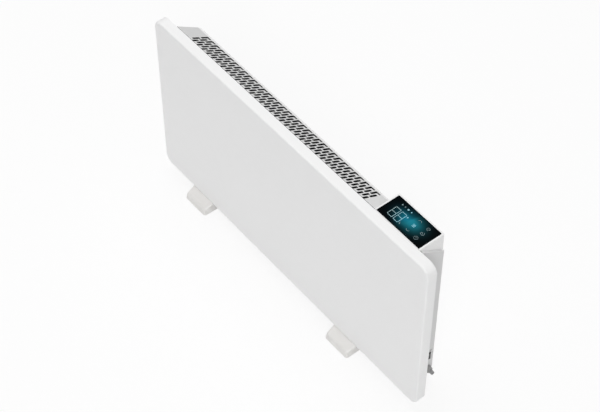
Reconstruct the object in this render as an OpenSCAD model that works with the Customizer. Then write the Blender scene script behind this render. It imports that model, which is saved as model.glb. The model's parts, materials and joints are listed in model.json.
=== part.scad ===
// Wall panel convector heater: a folded steel front tray on a shallow rear case,
// with a punched grille on the sloped top, a touch control box and two moulded feet.
// Millimetres. X runs along the panel, the front faces -Y, and Z = 0 is the floor.

/* [Front panel] */
// Width of the front panel
panel_w = 860; // [820:10:1000]
// Height of the front panel
panel_h = 440; // [400:10:520]
// Depth of the folded tray that forms the front panel
tray_d = 23.5; // [20:0.5:28]
// Corner radius of the front panel
panel_r = 22; // [12:1:36]
// Radius of the soft edge round the front face
edge_r = 4; // [2:0.5:5]
// Sheet thickness of the front panel
panel_t = 1.2; // [0.8:0.1:1.2]

/* [Rear case] */
// Length of the rear case
case_w = 768; // [760:2:800]
// Depth of the heater, from the front face to the back of the case
case_d = 84; // [80:1:100]
// Height that the sloped top loses towards the back
slope_drop = 40; // [34:1:46]
// How far the top of the case starts below the top of the panel
top_recess = 3; // [2:0.5:4]
// Depth of the angled corner under the back
heel_d = 22; // [16:1:24]
// Height of the angled corner under the back
heel_h = 16; // [12:1:20]
// Sheet thickness of the case
case_t = 1; // [0.8:0.1:1.2]
// Outer radius of the folds
bend_r = 2.4; // [1.6:0.2:3]

/* [Grille] */
// Number of repeats of the slot pattern along the top
slot_units = 35; // [10:1:35]
// Length of one repeat, which holds two rows of slots
slot_pitch = 16; // [15:0.5:16]
// Width of a slot
slot_w = 5.4; // [3:0.2:5.4]
// Lean of the slots against the depth direction, in degrees
slot_lean = 6; // [0:1:8]
// Middle of the grille along the panel
grille_x = -66.5; // [-75:0.5:-60]

/* [Control box] */
// Middle of the control box along the panel
box_x = 315; // [310:1:316]
// Width of the control box
box_w = 128; // [126:1:132]
// Border of the box left and right of the touch glass
glass_side = 3.5; // [2:0.5:8]
// Border of the box behind the touch glass
glass_rear = 3.8; // [2.4:0.2:8]
// Thickness of the touch glass
glass_t = 1.6; // [1:0.2:2]

/* [Switch and cord entry] */
// Height of the mains switch above the bottom edge of the panel
switch_z = 66; // [60:1:80]
// Distance from the front face to the middle of the switch
switch_y = 67; // [66:0.5:68]
// Tilt of the rocker each side of its middle, in degrees
rocker_tilt = 7; // [5:0.5:8]
// Height of the cord gland above the bottom edge of the panel
gland_z = 22; // [21:1:26]
// Distance from the front face to the cord gland
gland_y = 70; // [66:1:71]
// Bore of the cord gland
gland_bore = 6.8; // [6:0.2:8]

/* [Feet] */
// Length of a foot, from front to back
foot_len = 140; // [124:2:160]
// Width of a foot
foot_w = 72; // [60:2:76]
// Height of the panel above the floor
foot_h = 24; // [20:1:30]
// How far a foot reaches in front of the panel
foot_reach = 24; // [18:1:26]
// Distance between the two feet
foot_span = 495; // [400:5:540]
// Middle of the pair of feet along the panel
foot_mid_x = -43; // [-60:0.5:-40]

/* [Hidden] */
$fn = 48;

// Planes of the heater
face_y = foot_reach - foot_len / 2;
tray_y = face_y + tray_d;
back_y = face_y + case_d;
base_z = foot_h;
top_z = base_z + panel_h;
case_top_z = top_z - top_recess;
shoulder_z = case_top_z - slope_drop;
case_x = case_w / 2;
slope_angle = atan(slope_drop / (back_y - tray_y));
lip_h = 12;
fit_gap = 0.1;
eps = 0.01;

// Tray flange and the screws that hold the case to it
flange_side = 62;
flange_end = 14;
side_flange_w = 14;
side_screw_x = case_x + 8;
side_screw_z = [base_z + 60, base_z + panel_h / 2, top_z - 60];
screw_r = 2;
screw_hole_r = 2.1;

// Slots, as start and end along the slope from its front edge
row_a_slots = [[10.8, 35.2], [39.2, 64]];
row_b_slots = [[2.6, 23], [27, 51.8]];
hook_len = 13;
slot_ref = 42;
intake_slot = [5, 33];

// Control box
box_front_y = tray_y + 0.2;
box_back_y = back_y + 2;
box_lip_z = shoulder_z - 5;
box_r = 4;
box_screw_dx = 40;
box_screw_z = box_lip_z + 2.6;
glass_w = box_w - 2 * glass_side;
glass_y0 = box_front_y + fit_gap;
glass_y1 = box_back_y - glass_rear;
glass_seat = 1.8;
ledge_w = 3;
window_x = box_w / 2 - 8;
window_y = [tray_y + 3, back_y - 12];
skirt_gap = 0.3;
skirt_t = 1.6;
skirt_h = 9;
board_drop = 7;
board_t = 1.6;
board_top_z = top_z - board_drop;
cavity_x = window_x - skirt_gap - skirt_t;
cavity_y = [window_y[0] + skirt_gap + skirt_t, glass_y1 - ledge_w];
cavity_well_y = window_y[1] - skirt_gap - skirt_t;
cavity_floor = 2.2;
plug = [18, 6, 5];
plug_y = 4;
plug_z = board_top_z - board_t - plug.z;

// Bay for the electronics
partition_x = box_x - box_w / 2 - 10;
bay_wall_y = back_y - case_t;
partition_t = 1;
grommet_y = back_y - 24;
grommet_z = base_z + 112;
grommet_r = 7;
grommet_bore = 4.6;
board_x = [partition_x + 17, case_x - 12];
board_z = [base_z + 190, base_z + 290];
standoff_h = 8;
standoff_r = 3;
board_face_y = bay_wall_y - standoff_h - board_t;
board_corners = [for (x = [board_x[0] + 5, board_x[1] - 5], z = [board_z[0] + 5, board_z[1] - 5]) [x, z]];
block_x = case_x - 62;
block_z = base_z + 92;
block = [12, 17, 20];
socket = [18, 6, 6];
socket_z = 84;

// Heating element
element_x = [grille_x - 265, grille_x + 265];
element_y = tray_y + 24;
element_z = base_z + 78;
rod_r = 4;
rod_stub = 24;
rod_pin = 9;
rod_gap = 0.05;
bush_r = 8;
bush_neck_r = 6.5;
bracket_t = 1.2;
bracket_x = [element_x[0] - 12, element_x[1] + 12];
shield_t = 0.6;
shield_y = back_y - 9;
shield_face_y = shield_y - shield_t / 2;
shield_z = [base_z + 36, base_z + 350];
guard_z = base_z + 150;
lead_r = 1.4;

// Mains switch
rocker_l = 22;
rocker_w = 14;
bezel = [25, 31, 2];
switch_cut = [21.6, 27.2];
switch_depth = 21;
blade = [9, 0.8, 6.3];
blade_y = 5;
blade_z = 7;
rocker_pin_r = 1.5;
rocker_pin_gap = 0.05;
rocker_axis_x = case_x - 3;
rocker_opening = [15, 24.2];
switch_mid = [face_y + switch_y, base_z + switch_z];

// Cord gland
gland_mid = [face_y + gland_y, base_z + gland_z];
gland_thread_r = 6;
gland_hole_r = gland_thread_r + 0.2;
gland_flange = [8.5, 3.5];
gland_inner_x = -12;
gland_nose_x = 18;
gland_nut_r = 8.4;
gland_nut_h = 5;

// Keyholes for hanging on a wall
keyhole_span = 400;
keyhole_rise = 240;
keyhole_mid_z = base_z + 210;
keyhole_r = 5.5;
keyhole_neck_r = 2.6;
keyhole_neck = 11;

// Feet
foot_x = [foot_mid_x - foot_span / 2, foot_mid_x + foot_span / 2];
foot_wall = 3;
foot_screw_dx = 16;
foot_screw_y = tray_y + 20;
foot_screw_z = 18;
foot_corner_r = 6;
foot_nose_r = 9;
foot_y = [face_y - foot_reach, face_y - foot_reach + foot_len];
pad_r = 8;
pad_y = [foot_y[0] + 14, foot_y[1] - 14];

// Points of a fold: an arc of radius r at corner b between the lines to a and c
function unit(v) = v / norm(v);
function fold(a, b, c, r, steps = 4) =
    let (u = unit(a - b), w = unit(c - b))
    let (half = acos(u * w) / 2)
    let (m = b + unit(u + w) * r / sin(half))
    let (p = b + u * r / tan(half), q = b + w * r / tan(half))
    [for (i = [0 : steps]) m + unit((p - m) * (steps - i) + (q - m) * i) * r];
function rounded(pts, r) =
    let (n = len(pts))
    [for (i = [0 : n - 1]) each fold(pts[(i + n - 1) % n], pts[i], pts[(i + 1) % n], r)];

// A counter-clockwise outline moved inwards by t
function side_normal(a, b) = let (d = unit(b - a)) [-d.y, d.x];
function inset(pts, t) =
    let (n = len(pts))
    [for (i = [0 : n - 1])
        let (n0 = side_normal(pts[(i + n - 1) % n], pts[i]))
        let (n1 = side_normal(pts[i], pts[(i + 1) % n]))
        pts[i] + t * (n0 + n1) / (1 + n0 * n1)];

// Outline of the case in the plane across the panel, as [y, z]
case_outline = [
    [tray_y, base_z], [back_y - heel_d, base_z], [back_y, base_z + heel_h],
    [back_y, shoulder_z], [tray_y, case_top_z]
];
function slope_z(y) = case_top_z - (y - tray_y) * slope_drop / (back_y - tray_y);

// Extrudes a [y, z] outline along X, from x0 over a length
module along_x(x0, length) {
    translate([x0, 0, 0])
    rotate([90, 0, 90])
    linear_extrude(length)
    children();
}

// Places a flat drawing on the sloped top: x along the panel, y down the slope
module on_slope() {
    translate([0, tray_y, case_top_z])
    rotate([-slope_angle, 0, 0])
    children();
}

module rounded_rect(x0, y0, x1, y1, r) {
    translate([x0 + r, y0])
    square([x1 - x0 - 2 * r, y1 - y0]);
    translate([x0, y0 + r])
    square([x1 - x0, y1 - y0 - 2 * r]);
    for (x = [x0 + r, x1 - r], y = [y0 + r, y1 - r])
        translate([x, y])
        circle(r);
}

module obround(length, width) {
    translate([-width / 2, width / 2])
    square([width, length - width]);
    for (y = [width / 2, length - width / 2])
        translate([0, y])
        circle(width / 2);
}

// Tube of radius r through a list of points, as one closed skin
function tube_dir(p, i) =
    unit((i < len(p) - 1 ? p[i + 1] : p[i]) - (i > 0 ? p[i - 1] : p[i]));
function tube_ring(c, d, r, sides) =
    let (s = unit(cross(abs(d.z) < 0.9 ? [0, 0, 1] : [0, 1, 0], d)), t = cross(d, s))
    [for (k = [0 : sides - 1]) c + r * (cos(360 * k / sides) * s + sin(360 * k / sides) * t)];
module tube(p, r, sides = 8) {
    rings = len(p);
    points = [for (i = [0 : rings - 1]) each tube_ring(p[i], tube_dir(p, i), r, sides)];
    walls = [
        for (i = [0 : rings - 2], k = [0 : sides - 1])
            let (a = i * sides + k, b = i * sides + (k + 1) % sides)
            [a, a + sides, b + sides, b]
    ];
    start = [for (k = [0 : sides - 1]) k];
    end = [for (k = [sides - 1 : -1 : 0]) (rings - 1) * sides + k];
    polyhedron(points, concat(walls, [start, end]));
}

module pan_screw(length, head_r = 3.8) {
    rim_h = 1.4;
    dome_h = 1;
    cylinder(h = length, r = screw_r);
    translate([0, 0, -rim_h])
    cylinder(h = rim_h, r = head_r);
    translate([0, 0, -rim_h - dome_h])
    cylinder(h = dome_h, r1 = head_r * 0.62, r2 = head_r);
}

// Front panel: a tray with rounded corners, a soft front edge and a rear flange
module front_corner(t) {
    soft_r = edge_r - t;
    rotate_extrude()
    translate([panel_r - edge_r, soft_r])
    circle(soft_r, $fn = 24);
    translate([0, 0, soft_r])
    cylinder(h = tray_d - 2 * t - soft_r, r = panel_r - t);
}

// The tray as a full block, drawn in by t on every side
module tray_block(t) {
    corner_x = panel_w / 2 - panel_r;
    corner_z = [base_z + panel_r, top_z - panel_r];
    hull()
        for (x = [-corner_x, corner_x], z = corner_z)
            translate([x, face_y + t, z])
            rotate([-90, 0, 0])
            front_corner(t, $fn = 32);
}

module front_panel() {
    color("white")
    difference() {
        tray_block(0);
        tray_block(panel_t);
        translate([-panel_w / 2 + flange_side, tray_y - panel_t - 1, base_z + flange_end])
        cube([panel_w - 2 * flange_side, panel_t + 2, panel_h - 2 * flange_end]);
        for (x = [-side_screw_x, side_screw_x], z = side_screw_z)
            translate([x, tray_y + 1, z])
            rotate([90, 0, 0])
            cylinder(h = panel_t + 2, r = screw_hole_r);
    }
}

// Two rows of the grille: row A ends in a hook along the back, row B lies between
module grille_unit() {
    translate([0, slot_ref])
    rotate(slot_lean)
    for (s = row_a_slots)
        translate([0, s[0] - slot_ref])
        obround(s[1] - s[0], slot_w);
    hook_x = -(row_a_slots[1][1] - slot_ref) * sin(slot_lean);
    translate([hook_x - slot_w / 2, row_a_slots[1][1] - slot_w / 2])
    rotate(-90)
    obround(hook_len, slot_w);
    translate([slot_pitch / 2, slot_ref])
    rotate(slot_lean)
    for (s = row_b_slots)
        translate([0, s[0] - slot_ref])
        obround(s[1] - s[0], slot_w);
}

module grille() {
    first_x = grille_x - (slot_units - 0.5) * slot_pitch / 2;
    for (i = [0 : slot_units - 1])
        translate([first_x + i * slot_pitch, 0])
        grille_unit();
}

function clear_of_feet(x) = min([for (f = foot_x) abs(x - f)]) > foot_w / 2 + slot_w;

module intake_slots() {
    first_x = grille_x - (slot_units - 1) * slot_pitch / 2;
    for (i = [0 : slot_units - 1])
        if (clear_of_feet(first_x + i * slot_pitch))
            translate([first_x + i * slot_pitch, tray_y + intake_slot[0]])
            obround(intake_slot[1] - intake_slot[0], slot_w);
}

module keyhole() {
    circle(keyhole_r);
    translate([-keyhole_neck_r, 0])
    square([2 * keyhole_neck_r, keyhole_neck]);
    translate([0, keyhole_neck])
    circle(keyhole_neck_r);
}

module case_section(t) {
    difference() {
        polygon(rounded(case_outline, bend_r));
        polygon(rounded(inset(case_outline, t), bend_r - t));
        translate([tray_y - 1, base_z + lip_h])
        square([t + 1.5, case_top_z - base_z - 2 * lip_h]);
    }
}

module rear_case() {
    color("gainsboro")
    difference() {
        along_x(-case_x, case_w)
        case_section(case_t);
        on_slope()
        translate([0, 0, -2])
        linear_extrude(3)
        grille();
        translate([0, 0, base_z - 1])
        linear_extrude(3)
        intake_slots();
        for (x = [-keyhole_span / 2, keyhole_span / 2], z = [-keyhole_rise / 2, keyhole_rise / 2])
            translate([x, back_y + 1, keyhole_mid_z + z])
            rotate([90, 0, 0])
            linear_extrude(3)
            keyhole();
        translate([box_x - window_x, window_y[0], shoulder_z - 10])
        cube([2 * window_x, window_y[1] - window_y[0], 80]);
        for (f = foot_x, dx = [-foot_screw_dx, foot_screw_dx])
            translate([f + dx, foot_screw_y, base_z - 1])
            cylinder(h = 3, r = screw_hole_r);
        box_screw_holes();
    }
}

// Holes for the two screws that hold the control box to the back of the case
module box_screw_holes() {
    for (dx = [-box_screw_dx, box_screw_dx])
        translate([box_x + dx, back_y - 4, box_screw_z])
        rotate([-90, 0, 0])
        cylinder(h = 8, r = screw_hole_r);
}

// End plate: closes the case, with a rim inside it and a flange against the tray
module end_plate() {
    rim = 9;
    side_z = [base_z + 30, top_z - 30];
    inner = inset(case_outline, case_t);
    front_cut = case_t + 0.6;
    difference() {
        union() {
            along_x(case_x - case_t, case_t)
            polygon(rounded(inner, bend_r - case_t));
            along_x(case_x - rim, rim - case_t + eps)
            difference() {
                polygon(rounded(inner, bend_r - case_t));
                polygon(rounded(inset(case_outline, 2 * case_t), 0.4));
                translate([tray_y - 1, base_z + case_t])
                square([front_cut + 3, case_top_z - base_z]);
            }
            translate([case_x - case_t, tray_y, side_z[0]])
            cube([side_flange_w + case_t, case_t, side_z[1] - side_z[0]]);
        }
        for (z = side_screw_z)
            translate([side_screw_x, tray_y + 2, z])
            rotate([90, 0, 0])
            cylinder(h = 3, r = screw_hole_r);
    }
}

module left_end_plate() {
    color("gainsboro")
    mirror([1, 0, 0])
    end_plate();
}

module right_end_plate() {
    color("gainsboro")
    difference() {
        end_plate();
        translate([case_x - 2, switch_mid.x - switch_cut[0] / 2, switch_mid.y - switch_cut[1] / 2])
        cube([4, switch_cut[0], switch_cut[1]]);
        translate([case_x - 3, gland_mid.x, gland_mid.y])
        rotate([0, 90, 0])
        cylinder(h = 5, r = gland_hole_r);
    }
}

// Plan of the control box, of its glass and of the seat: square in front, rounded at the back
module round_back(width, y0, y1, r) {
    translate([-width / 2, y0])
    square([width, y1 - y0 - r]);
    translate([-width / 2 + r, y0])
    square([width - 2 * r, y1 - y0]);
    for (x = [-width / 2 + r, width / 2 - r])
        translate([x, y1 - r])
        circle(r);
}

// Control box: a moulded wedge that levels the slope, with a skirt through the case
module box_wedge() {
    lip_y = back_y + fit_gap;
    intersection() {
        along_x(box_x - box_w / 2, box_w)
        polygon([
            [box_front_y, slope_z(box_front_y) + fit_gap], [lip_y, slope_z(lip_y) + fit_gap],
            [lip_y, box_lip_z], [box_back_y, box_lip_z],
            [box_back_y, top_z], [box_front_y, top_z]
        ]);
        translate([box_x, 0, box_lip_z - 1])
        linear_extrude(top_z - box_lip_z + 2)
        round_back(box_w, box_front_y, box_back_y, box_r);
    }
}

module box_skirt() {
    y0 = window_y[0] + skirt_gap;
    y1 = window_y[1] - skirt_gap;
    skirt_x = window_x - skirt_gap;
    along_x(box_x - skirt_x, 2 * skirt_x)
    polygon([
        [y0, slope_z(y0) - skirt_h], [y1, slope_z(y1) - skirt_h],
        [y1, slope_z(y1) + 1], [y0, slope_z(y0) + 1]
    ]);
}

module box_cavity() {
    seat_z = top_z - glass_seat;
    well_z = shoulder_z - 20;
    along_x(box_x - cavity_x, 2 * cavity_x)
    polygon([
        [cavity_y[0], well_z], [cavity_well_y, well_z],
        [cavity_well_y, slope_z(cavity_well_y) + cavity_floor],
        [cavity_y[1], slope_z(cavity_y[1]) + cavity_floor],
        [cavity_y[1], seat_z + 1], [cavity_y[0], seat_z + 1]
    ]);
    translate([box_x, 0, seat_z])
    linear_extrude(glass_seat + 1)
    round_back(glass_w + 2 * fit_gap, box_front_y - 1, glass_y1 + fit_gap, box_r - 1);
}

module control_box() {
    boss_r = 3.2;
    color("white") {
        difference() {
            union() {
                box_wedge();
                box_skirt();
            }
            box_cavity();
            box_screw_holes();
        }
        for (x = [box_x - cavity_x + 2, box_x + cavity_x - 2], y = [cavity_y[0] + 2, cavity_y[1] - 2])
            translate([x, y, board_top_z])
            cylinder(h = board_drop - glass_seat, r = boss_r);
    }
}

module touch_glass() {
    color([0.03, 0.06, 0.08])
    translate([box_x, 0, top_z - glass_seat])
    linear_extrude(glass_t)
    round_back(glass_w, glass_y0, glass_y1, box_r - 1 - fit_gap);
}

// Board under the glass: two digits, three touch springs and a plug for the ribbon
module display_board() {
    digits = [46, 24, 4.4];
    digits_at = [-44, -4];
    spring_r = 3;
    spring_at = [44, 7];
    spring_pitch = 15;
    color("darkgreen") {
        translate([box_x - cavity_x + 0.4, cavity_y[0] + 0.4, board_top_z - board_t])
        cube([2 * cavity_x - 0.8, cavity_y[1] - cavity_y[0] - 0.8, board_t]);
        translate([box_x + digits_at.x, digits_at.y, board_top_z - eps])
        cube(digits);
        for (i = [-1 : 1])
            translate([box_x + spring_at.x, spring_at.y + i * spring_pitch, board_top_z - eps])
            cylinder(h = board_drop - glass_seat - 0.3, r = spring_r);
        translate([box_x - plug.x / 2, plug_y - plug.y / 2, plug_z])
        cube([plug.x, plug.y, plug.z + eps]);
    }
}

// A strip of thickness t along a path of [y, z] points
function path_dir(p, i) = unit((i < len(p) - 1 ? p[i + 1] : p[i]) - (i > 0 ? p[i - 1] : p[i]));
function path_side(p, i, t) = let (d = path_dir(p, i)) p[i] + t * [-d.y, d.x];
function strip(p, t) = concat(
    [for (i = [0 : len(p) - 1]) path_side(p, i, -t / 2)],
    [for (i = [len(p) - 1 : -1 : 0]) path_side(p, i, t / 2)]);

// Ribbon: hangs from its plug in an easy bend down to the top edge of the power board
module display_ribbon() {
    ribbon_w = 14;
    ribbon_t = 0.8;
    reach = board_face_y - socket.z / 2 - plug_y;
    fall = plug_z - board_z[0] - socket_z - socket.y;
    steps = 9;
    route = [for (i = [0 : steps])
        let (t = i / steps)
        [plug_y + reach * (1 - cos(180 * t)) / 2, plug_z - fit_gap - (fall - 2 * fit_gap) * t]];
    color("lightgray")
    along_x(box_x - ribbon_w / 2, ribbon_w)
    polygon(strip(route, ribbon_t));
}

// Partition between the warm chamber and the bay for the electronics
module partition_wall() {
    tray_z = [base_z + flange_end + 0.4, case_top_z - lip_h - 0.4];
    wall_flange = [11, 1, 320];
    wall_flange_z = base_z + 60;
    color("silver")
    difference() {
        union() {
            along_x(partition_x, partition_t)
            union() {
                polygon(rounded(inset(case_outline, case_t + fit_gap), bend_r));
                translate([face_y + panel_t + 0.3, tray_z[0]])
                square([tray_y + case_t + 0.2 - face_y - panel_t, tray_z[1] - tray_z[0]]);
            }
            translate([partition_x + partition_t - eps, bay_wall_y - wall_flange.y, wall_flange_z])
            cube(wall_flange);
        }
        translate([partition_x - 1, grommet_y, grommet_z])
        rotate([0, 90, 0])
        cylinder(h = partition_t + 2, r = grommet_r);
    }
}

module lead_grommet() {
    collar = 2;
    rim_r = grommet_r + 2;
    seat_r = grommet_r - 0.05;
    color("dimgray")
    translate([partition_x + partition_t / 2, grommet_y, grommet_z])
    rotate([0, 90, 0])
    rotate_extrude()
    polygon([
        [grommet_bore, -collar], [rim_r - 0.6, -collar], [rim_r, -partition_t / 2 - 0.05],
        [seat_r, -partition_t / 2 - 0.05], [seat_r, partition_t / 2 + 0.05],
        [rim_r, partition_t / 2 + 0.05], [rim_r - 0.6, collar], [grommet_bore, collar]
    ]);
}

// Power board, upright on four stand-offs, with relays, transformer and capacitor
module on_board(at, size) {
    translate([board_x[0] + at.x, board_face_y - size.z, board_z[0] + at.y])
    cube([size.x, size.z + eps, size.y]);
}

module power_board() {
    relay = [19, 15.5, 15.5];
    transformer = [26, 22, 19];
    chip = [10, 26, 9];
    fuse_holder = [16, 8, 7];
    capacitor_r = 7;
    capacitor_h = 18;
    capacitor_at = [92, 62];
    color("darkgreen") {
        difference() {
            translate([board_x[0], board_face_y, board_z[0]])
            cube([board_x[1] - board_x[0], board_t, board_z[1] - board_z[0]]);
            for (c = board_corners)
                translate([c.x, board_face_y - 1, c.y])
                rotate([-90, 0, 0])
                cylinder(h = board_t + 2, r = 1.6);
        }
        for (x = [12, 36])
            on_board([x, 12], relay);
        on_board([66, 16], transformer);
        on_board([12, 48], chip);
        on_board([30, 60], fuse_holder);
        on_board([box_x - board_x[0] - socket.x / 2, socket_z], socket);
        translate([board_x[0] + capacitor_at.x, board_face_y + eps, board_z[0] + capacitor_at.y])
        rotate([90, 0, 0])
        cylinder(h = capacitor_h, r = capacitor_r);
    }
}

module board_standoffs() {
    stem_r = 1.5;
    head_r = 2.7;
    head_h = 2.4;
    color("silver")
    for (c = board_corners)
        translate([c.x, board_face_y + board_t, c.y])
        rotate([-90, 0, 0])
        union() {
            cylinder(h = standoff_h, r = standoff_r, $fn = 6);
            translate([0, 0, -board_t - head_h / 2])
            cylinder(h = board_t + head_h / 2 + fit_gap, r = stem_r);
            translate([0, 0, -board_t - head_h])
            cylinder(h = head_h, r = head_r);
        }
}

// Terminal block for the supply, three poles with a clamp screw at each end
module terminal_block() {
    pole = block.x;
    poles = 3;
    depth = block.y;
    height = block.z;
    color("ivory")
    translate([block_x, bay_wall_y - depth, block_z])
    difference() {
        union() {
            for (i = [0 : poles - 1])
                translate([i * pole, 0, 0])
                cube([pole - 2, depth, height]);
            translate([0, 4, 3])
            cube([poles * pole - 2, depth - 4, height - 6]);
        }
        for (i = [0 : poles - 1], z = [5, height - 5])
            translate([i * pole + pole / 2 - 1, -1, z])
            rotate([-90, 0, 0])
            cylinder(h = 7, r = 2);
        for (i = [0 : poles - 1])
            translate([i * pole + pole / 2 - 1, 10, -1])
            cylinder(h = height + 2, r = 2.2);
    }
}

module earth_stud() {
    stud_x = case_x - 40;
    stud_z = base_z + 60;
    washer_h = 1;
    nut_h = 3.2;
    color("goldenrod")
    translate([stud_x, bay_wall_y, stud_z])
    rotate([90, 0, 0])
    union() {
        cylinder(h = 14, r = screw_r);
        cylinder(h = washer_h, r = 5);
        translate([0, 0, washer_h - eps])
        cylinder(h = nut_h, r = 4.4, $fn = 6);
    }
}

// Heating element: an extruded cross of ribbed fins on a sheathed rod
module fin_profile() {
    fin_t = 1.8;
    fin_reach = 25;
    rib_t = 1.2;
    difference() {
        union() {
            circle(rod_r + 2.6);
            for (a = [45 : 90 : 315])
                rotate(a) {
                    translate([rod_r + 1, -fin_t / 2])
                    square([fin_reach - rod_r - 1, fin_t]);
                    for (d = [11, 15.5, 20, 24])
                        translate([d - rib_t / 2, -d * 0.2])
                        square([rib_t, d * 0.4]);
                }
        }
        circle(rod_r + rod_gap);
    }
}

module heating_element() {
    color("silver")
    translate([element_x[0], element_y, element_z])
    rotate([90, 0, 90])
    linear_extrude(element_x[1] - element_x[0])
    fin_profile();
}

module element_rod() {
    length = element_x[1] - element_x[0] + 2 * rod_stub;
    pin_r = 2;
    color("dimgray")
    translate([element_x[0] - rod_stub, element_y, element_z])
    rotate([0, 90, 0])
    union() {
        cylinder(h = length, r = rod_r);
        translate([0, 0, -rod_pin])
        cylinder(h = length + 2 * rod_pin, r = pin_r);
    }
}

module bush() {
    half = 7;
    neck = bracket_t / 2 + 0.05;
    rotate([0, 90, 0])
    rotate_extrude()
    polygon([
        [rod_r + rod_gap, -half], [bush_neck_r, -half], [bush_r, -half + 2], [bush_r, -neck],
        [bush_neck_r - 0.1, -neck], [bush_neck_r - 0.1, neck],
        [bush_r, neck], [bush_r, half - 2], [bush_neck_r, half], [rod_r + rod_gap, half]
    ]);
}

module element_insulators() {
    color("antiquewhite")
    for (x = bracket_x)
        translate([x, element_y, element_z])
        bush();
}

// Bracket under one end of the element, with a foot on the back of the case
module element_bracket(x, foot_dir) {
    foot = [15, bracket_t, 48];
    foot_x0 = foot_dir > 0 ? x - bracket_t / 2 : x + bracket_t / 2 - foot.x;
    color("silver")
    union() {
        along_x(x - bracket_t / 2, bracket_t)
        difference() {
            polygon([
                [bay_wall_y, element_z - foot.z / 2], [bay_wall_y, element_z + foot.z / 2],
                [element_y + 2, element_z + 14], [element_y - 10, element_z + 10],
                [element_y - 13, element_z], [element_y - 10, element_z - 10],
                [element_y + 2, element_z - 14]
            ]);
            translate([element_y, element_z])
            circle(bush_neck_r);
        }
        translate([foot_x0, bay_wall_y - foot.y, element_z - foot.z / 2])
        cube(foot);
    }
}

module left_element_bracket() {
    element_bracket(bracket_x[0], -1);
}

module right_element_bracket() {
    element_bracket(bracket_x[1], 1);
}

// Heat shield: a sheet that keeps the heat off the back of the case
module heat_shield() {
    wall = bay_wall_y - shield_t / 2;
    color("lightgray")
    along_x(element_x[0] - 4, element_x[1] - element_x[0] + 8)
    polygon(strip([
        [wall, shield_z[0] - 12], [wall, shield_z[0] - 1], [wall - 1, shield_z[0]],
        [shield_y + 1, shield_z[0]], [shield_y, shield_z[0] + 1],
        [shield_y, shield_z[1] - 1], [shield_y + 1, shield_z[1]],
        [wall - 1, shield_z[1]], [wall, shield_z[1] + 1], [wall, shield_z[1] + 12]
    ], shield_t));
}

// Cut-out on the shield: a flange, a cup and two blades
module thermal_cutout() {
    cup_h = 9;
    tab = [0.8, 6.2, 8];
    color("gray")
    translate([grille_x, shield_face_y, guard_z])
    rotate([90, 0, 0])
    union() {
        cylinder(h = 1.2, r = 12);
        cylinder(h = cup_h, r = 8.2);
        for (dx = [-4.5, 4.5])
            translate([dx - tab.x / 2, -tab.y / 2, cup_h - fit_gap])
            cube(tab);
    }
}

// Fuse beside it: a can with a lead at each end, held by a clip
module thermal_fuse() {
    can_r = 2.4;
    can_len = 16;
    tail = 10;
    clip = [12, 3, 6];
    color("gainsboro")
    translate([grille_x + 46, shield_face_y - can_r, guard_z])
    rotate([0, 90, 0])
    union() {
        cylinder(h = can_len, r = can_r);
        translate([0, 0, -tail])
        cylinder(h = can_len + 2 * tail, r = 0.7);
        translate([-clip.x / 2, can_r - clip.y, (can_len - clip.z) / 2])
        cube(clip);
    }
}

// Room sensor: a bead on a stem, on a block that sits on the floor of the case
module room_sensor() {
    seat = [8, 8, 6];
    stem_h = 8;
    bead_r = 2.2;
    color("black")
    translate([box_x + 20, tray_y + 14, base_z + case_t])
    union() {
        cube(seat);
        translate([seat.x / 2, seat.y / 2, seat.z - eps])
        cylinder(h = stem_h + eps, r = bead_r);
        translate([seat.x / 2, seat.y / 2, seat.z + stem_h])
        sphere(bead_r);
    }
}

// Tilt switch: a sealed block on the partition, with a round cap and two blades
module tilt_switch() {
    body = [14, 18, 24];
    cap_h = 3;
    tab = [0.8, 4.8, 6];
    color("dimgray")
    translate([partition_x + partition_t, face_y + 34, base_z + 40])
    union() {
        cube(body);
        translate([body.x - eps, body.y / 2, 14])
        rotate([0, 90, 0])
        cylinder(h = cap_h, r = 6);
        for (y = [3, body.y - 6])
            translate([6, y, body.z - eps])
            cube(tab);
    }
}

// Mains switch: bezel and body, with a socket for the rocker and bores for its pins
module switch_body() {
    body = [switch_depth, switch_cut[0] - 0.2, switch_cut[1] - 0.2];
    well = 9;
    pin_bore = 19;
    color("black")
    difference() {
        union() {
            translate([case_x, switch_mid.x - bezel.x / 2, switch_mid.y - bezel.y / 2])
            cube([bezel.z, bezel.x, bezel.y]);
            translate([case_x - body.x, switch_mid.x - body.y / 2, switch_mid.y - body.z / 2])
            cube([body.x + eps, body.y, body.z]);
            for (y = [-blade_y, blade_y], z = [-blade_z, blade_z])
                translate([case_x - body.x - blade.x, switch_mid.x + y, switch_mid.y + z])
                translate([0, -blade.y / 2, -blade.z / 2])
                cube([blade.x + eps, blade.y, blade.z]);
        }
        translate([case_x - well, switch_mid.x - rocker_opening.x / 2, switch_mid.y - rocker_opening.y / 2])
        cube([well + 10, rocker_opening.x, rocker_opening.y]);
        translate([rocker_axis_x, switch_mid.x - pin_bore / 2, switch_mid.y])
        rotate([-90, 0, 0])
        cylinder(h = pin_bore, r = rocker_pin_r + rocker_pin_gap);
    }
}

// Rocker, drawn level and then tilted to the off position
module switch_rocker() {
    half = rocker_l / 2;
    pin_len = 18.6;
    color([0.12, 0.12, 0.13])
    translate([rocker_axis_x, switch_mid.x, switch_mid.y])
    rotate([0, rocker_tilt, 0]) {
        rotate([90, 0, 0])
        translate([0, 0, -rocker_w / 2])
        linear_extrude(rocker_w)
        polygon([
            [5.5, half], [4.7, half / 2], [4.4, 0], [4.7, -half / 2], [5.5, -half],
            [-1, 0.6 - half], [-4, -4], [-4, 4], [-1, half - 0.6]
        ]);
        translate([0, -pin_len / 2, 0])
        rotate([-90, 0, 0])
        cylinder(h = pin_len, r = rocker_pin_r);
    }
}

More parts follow.
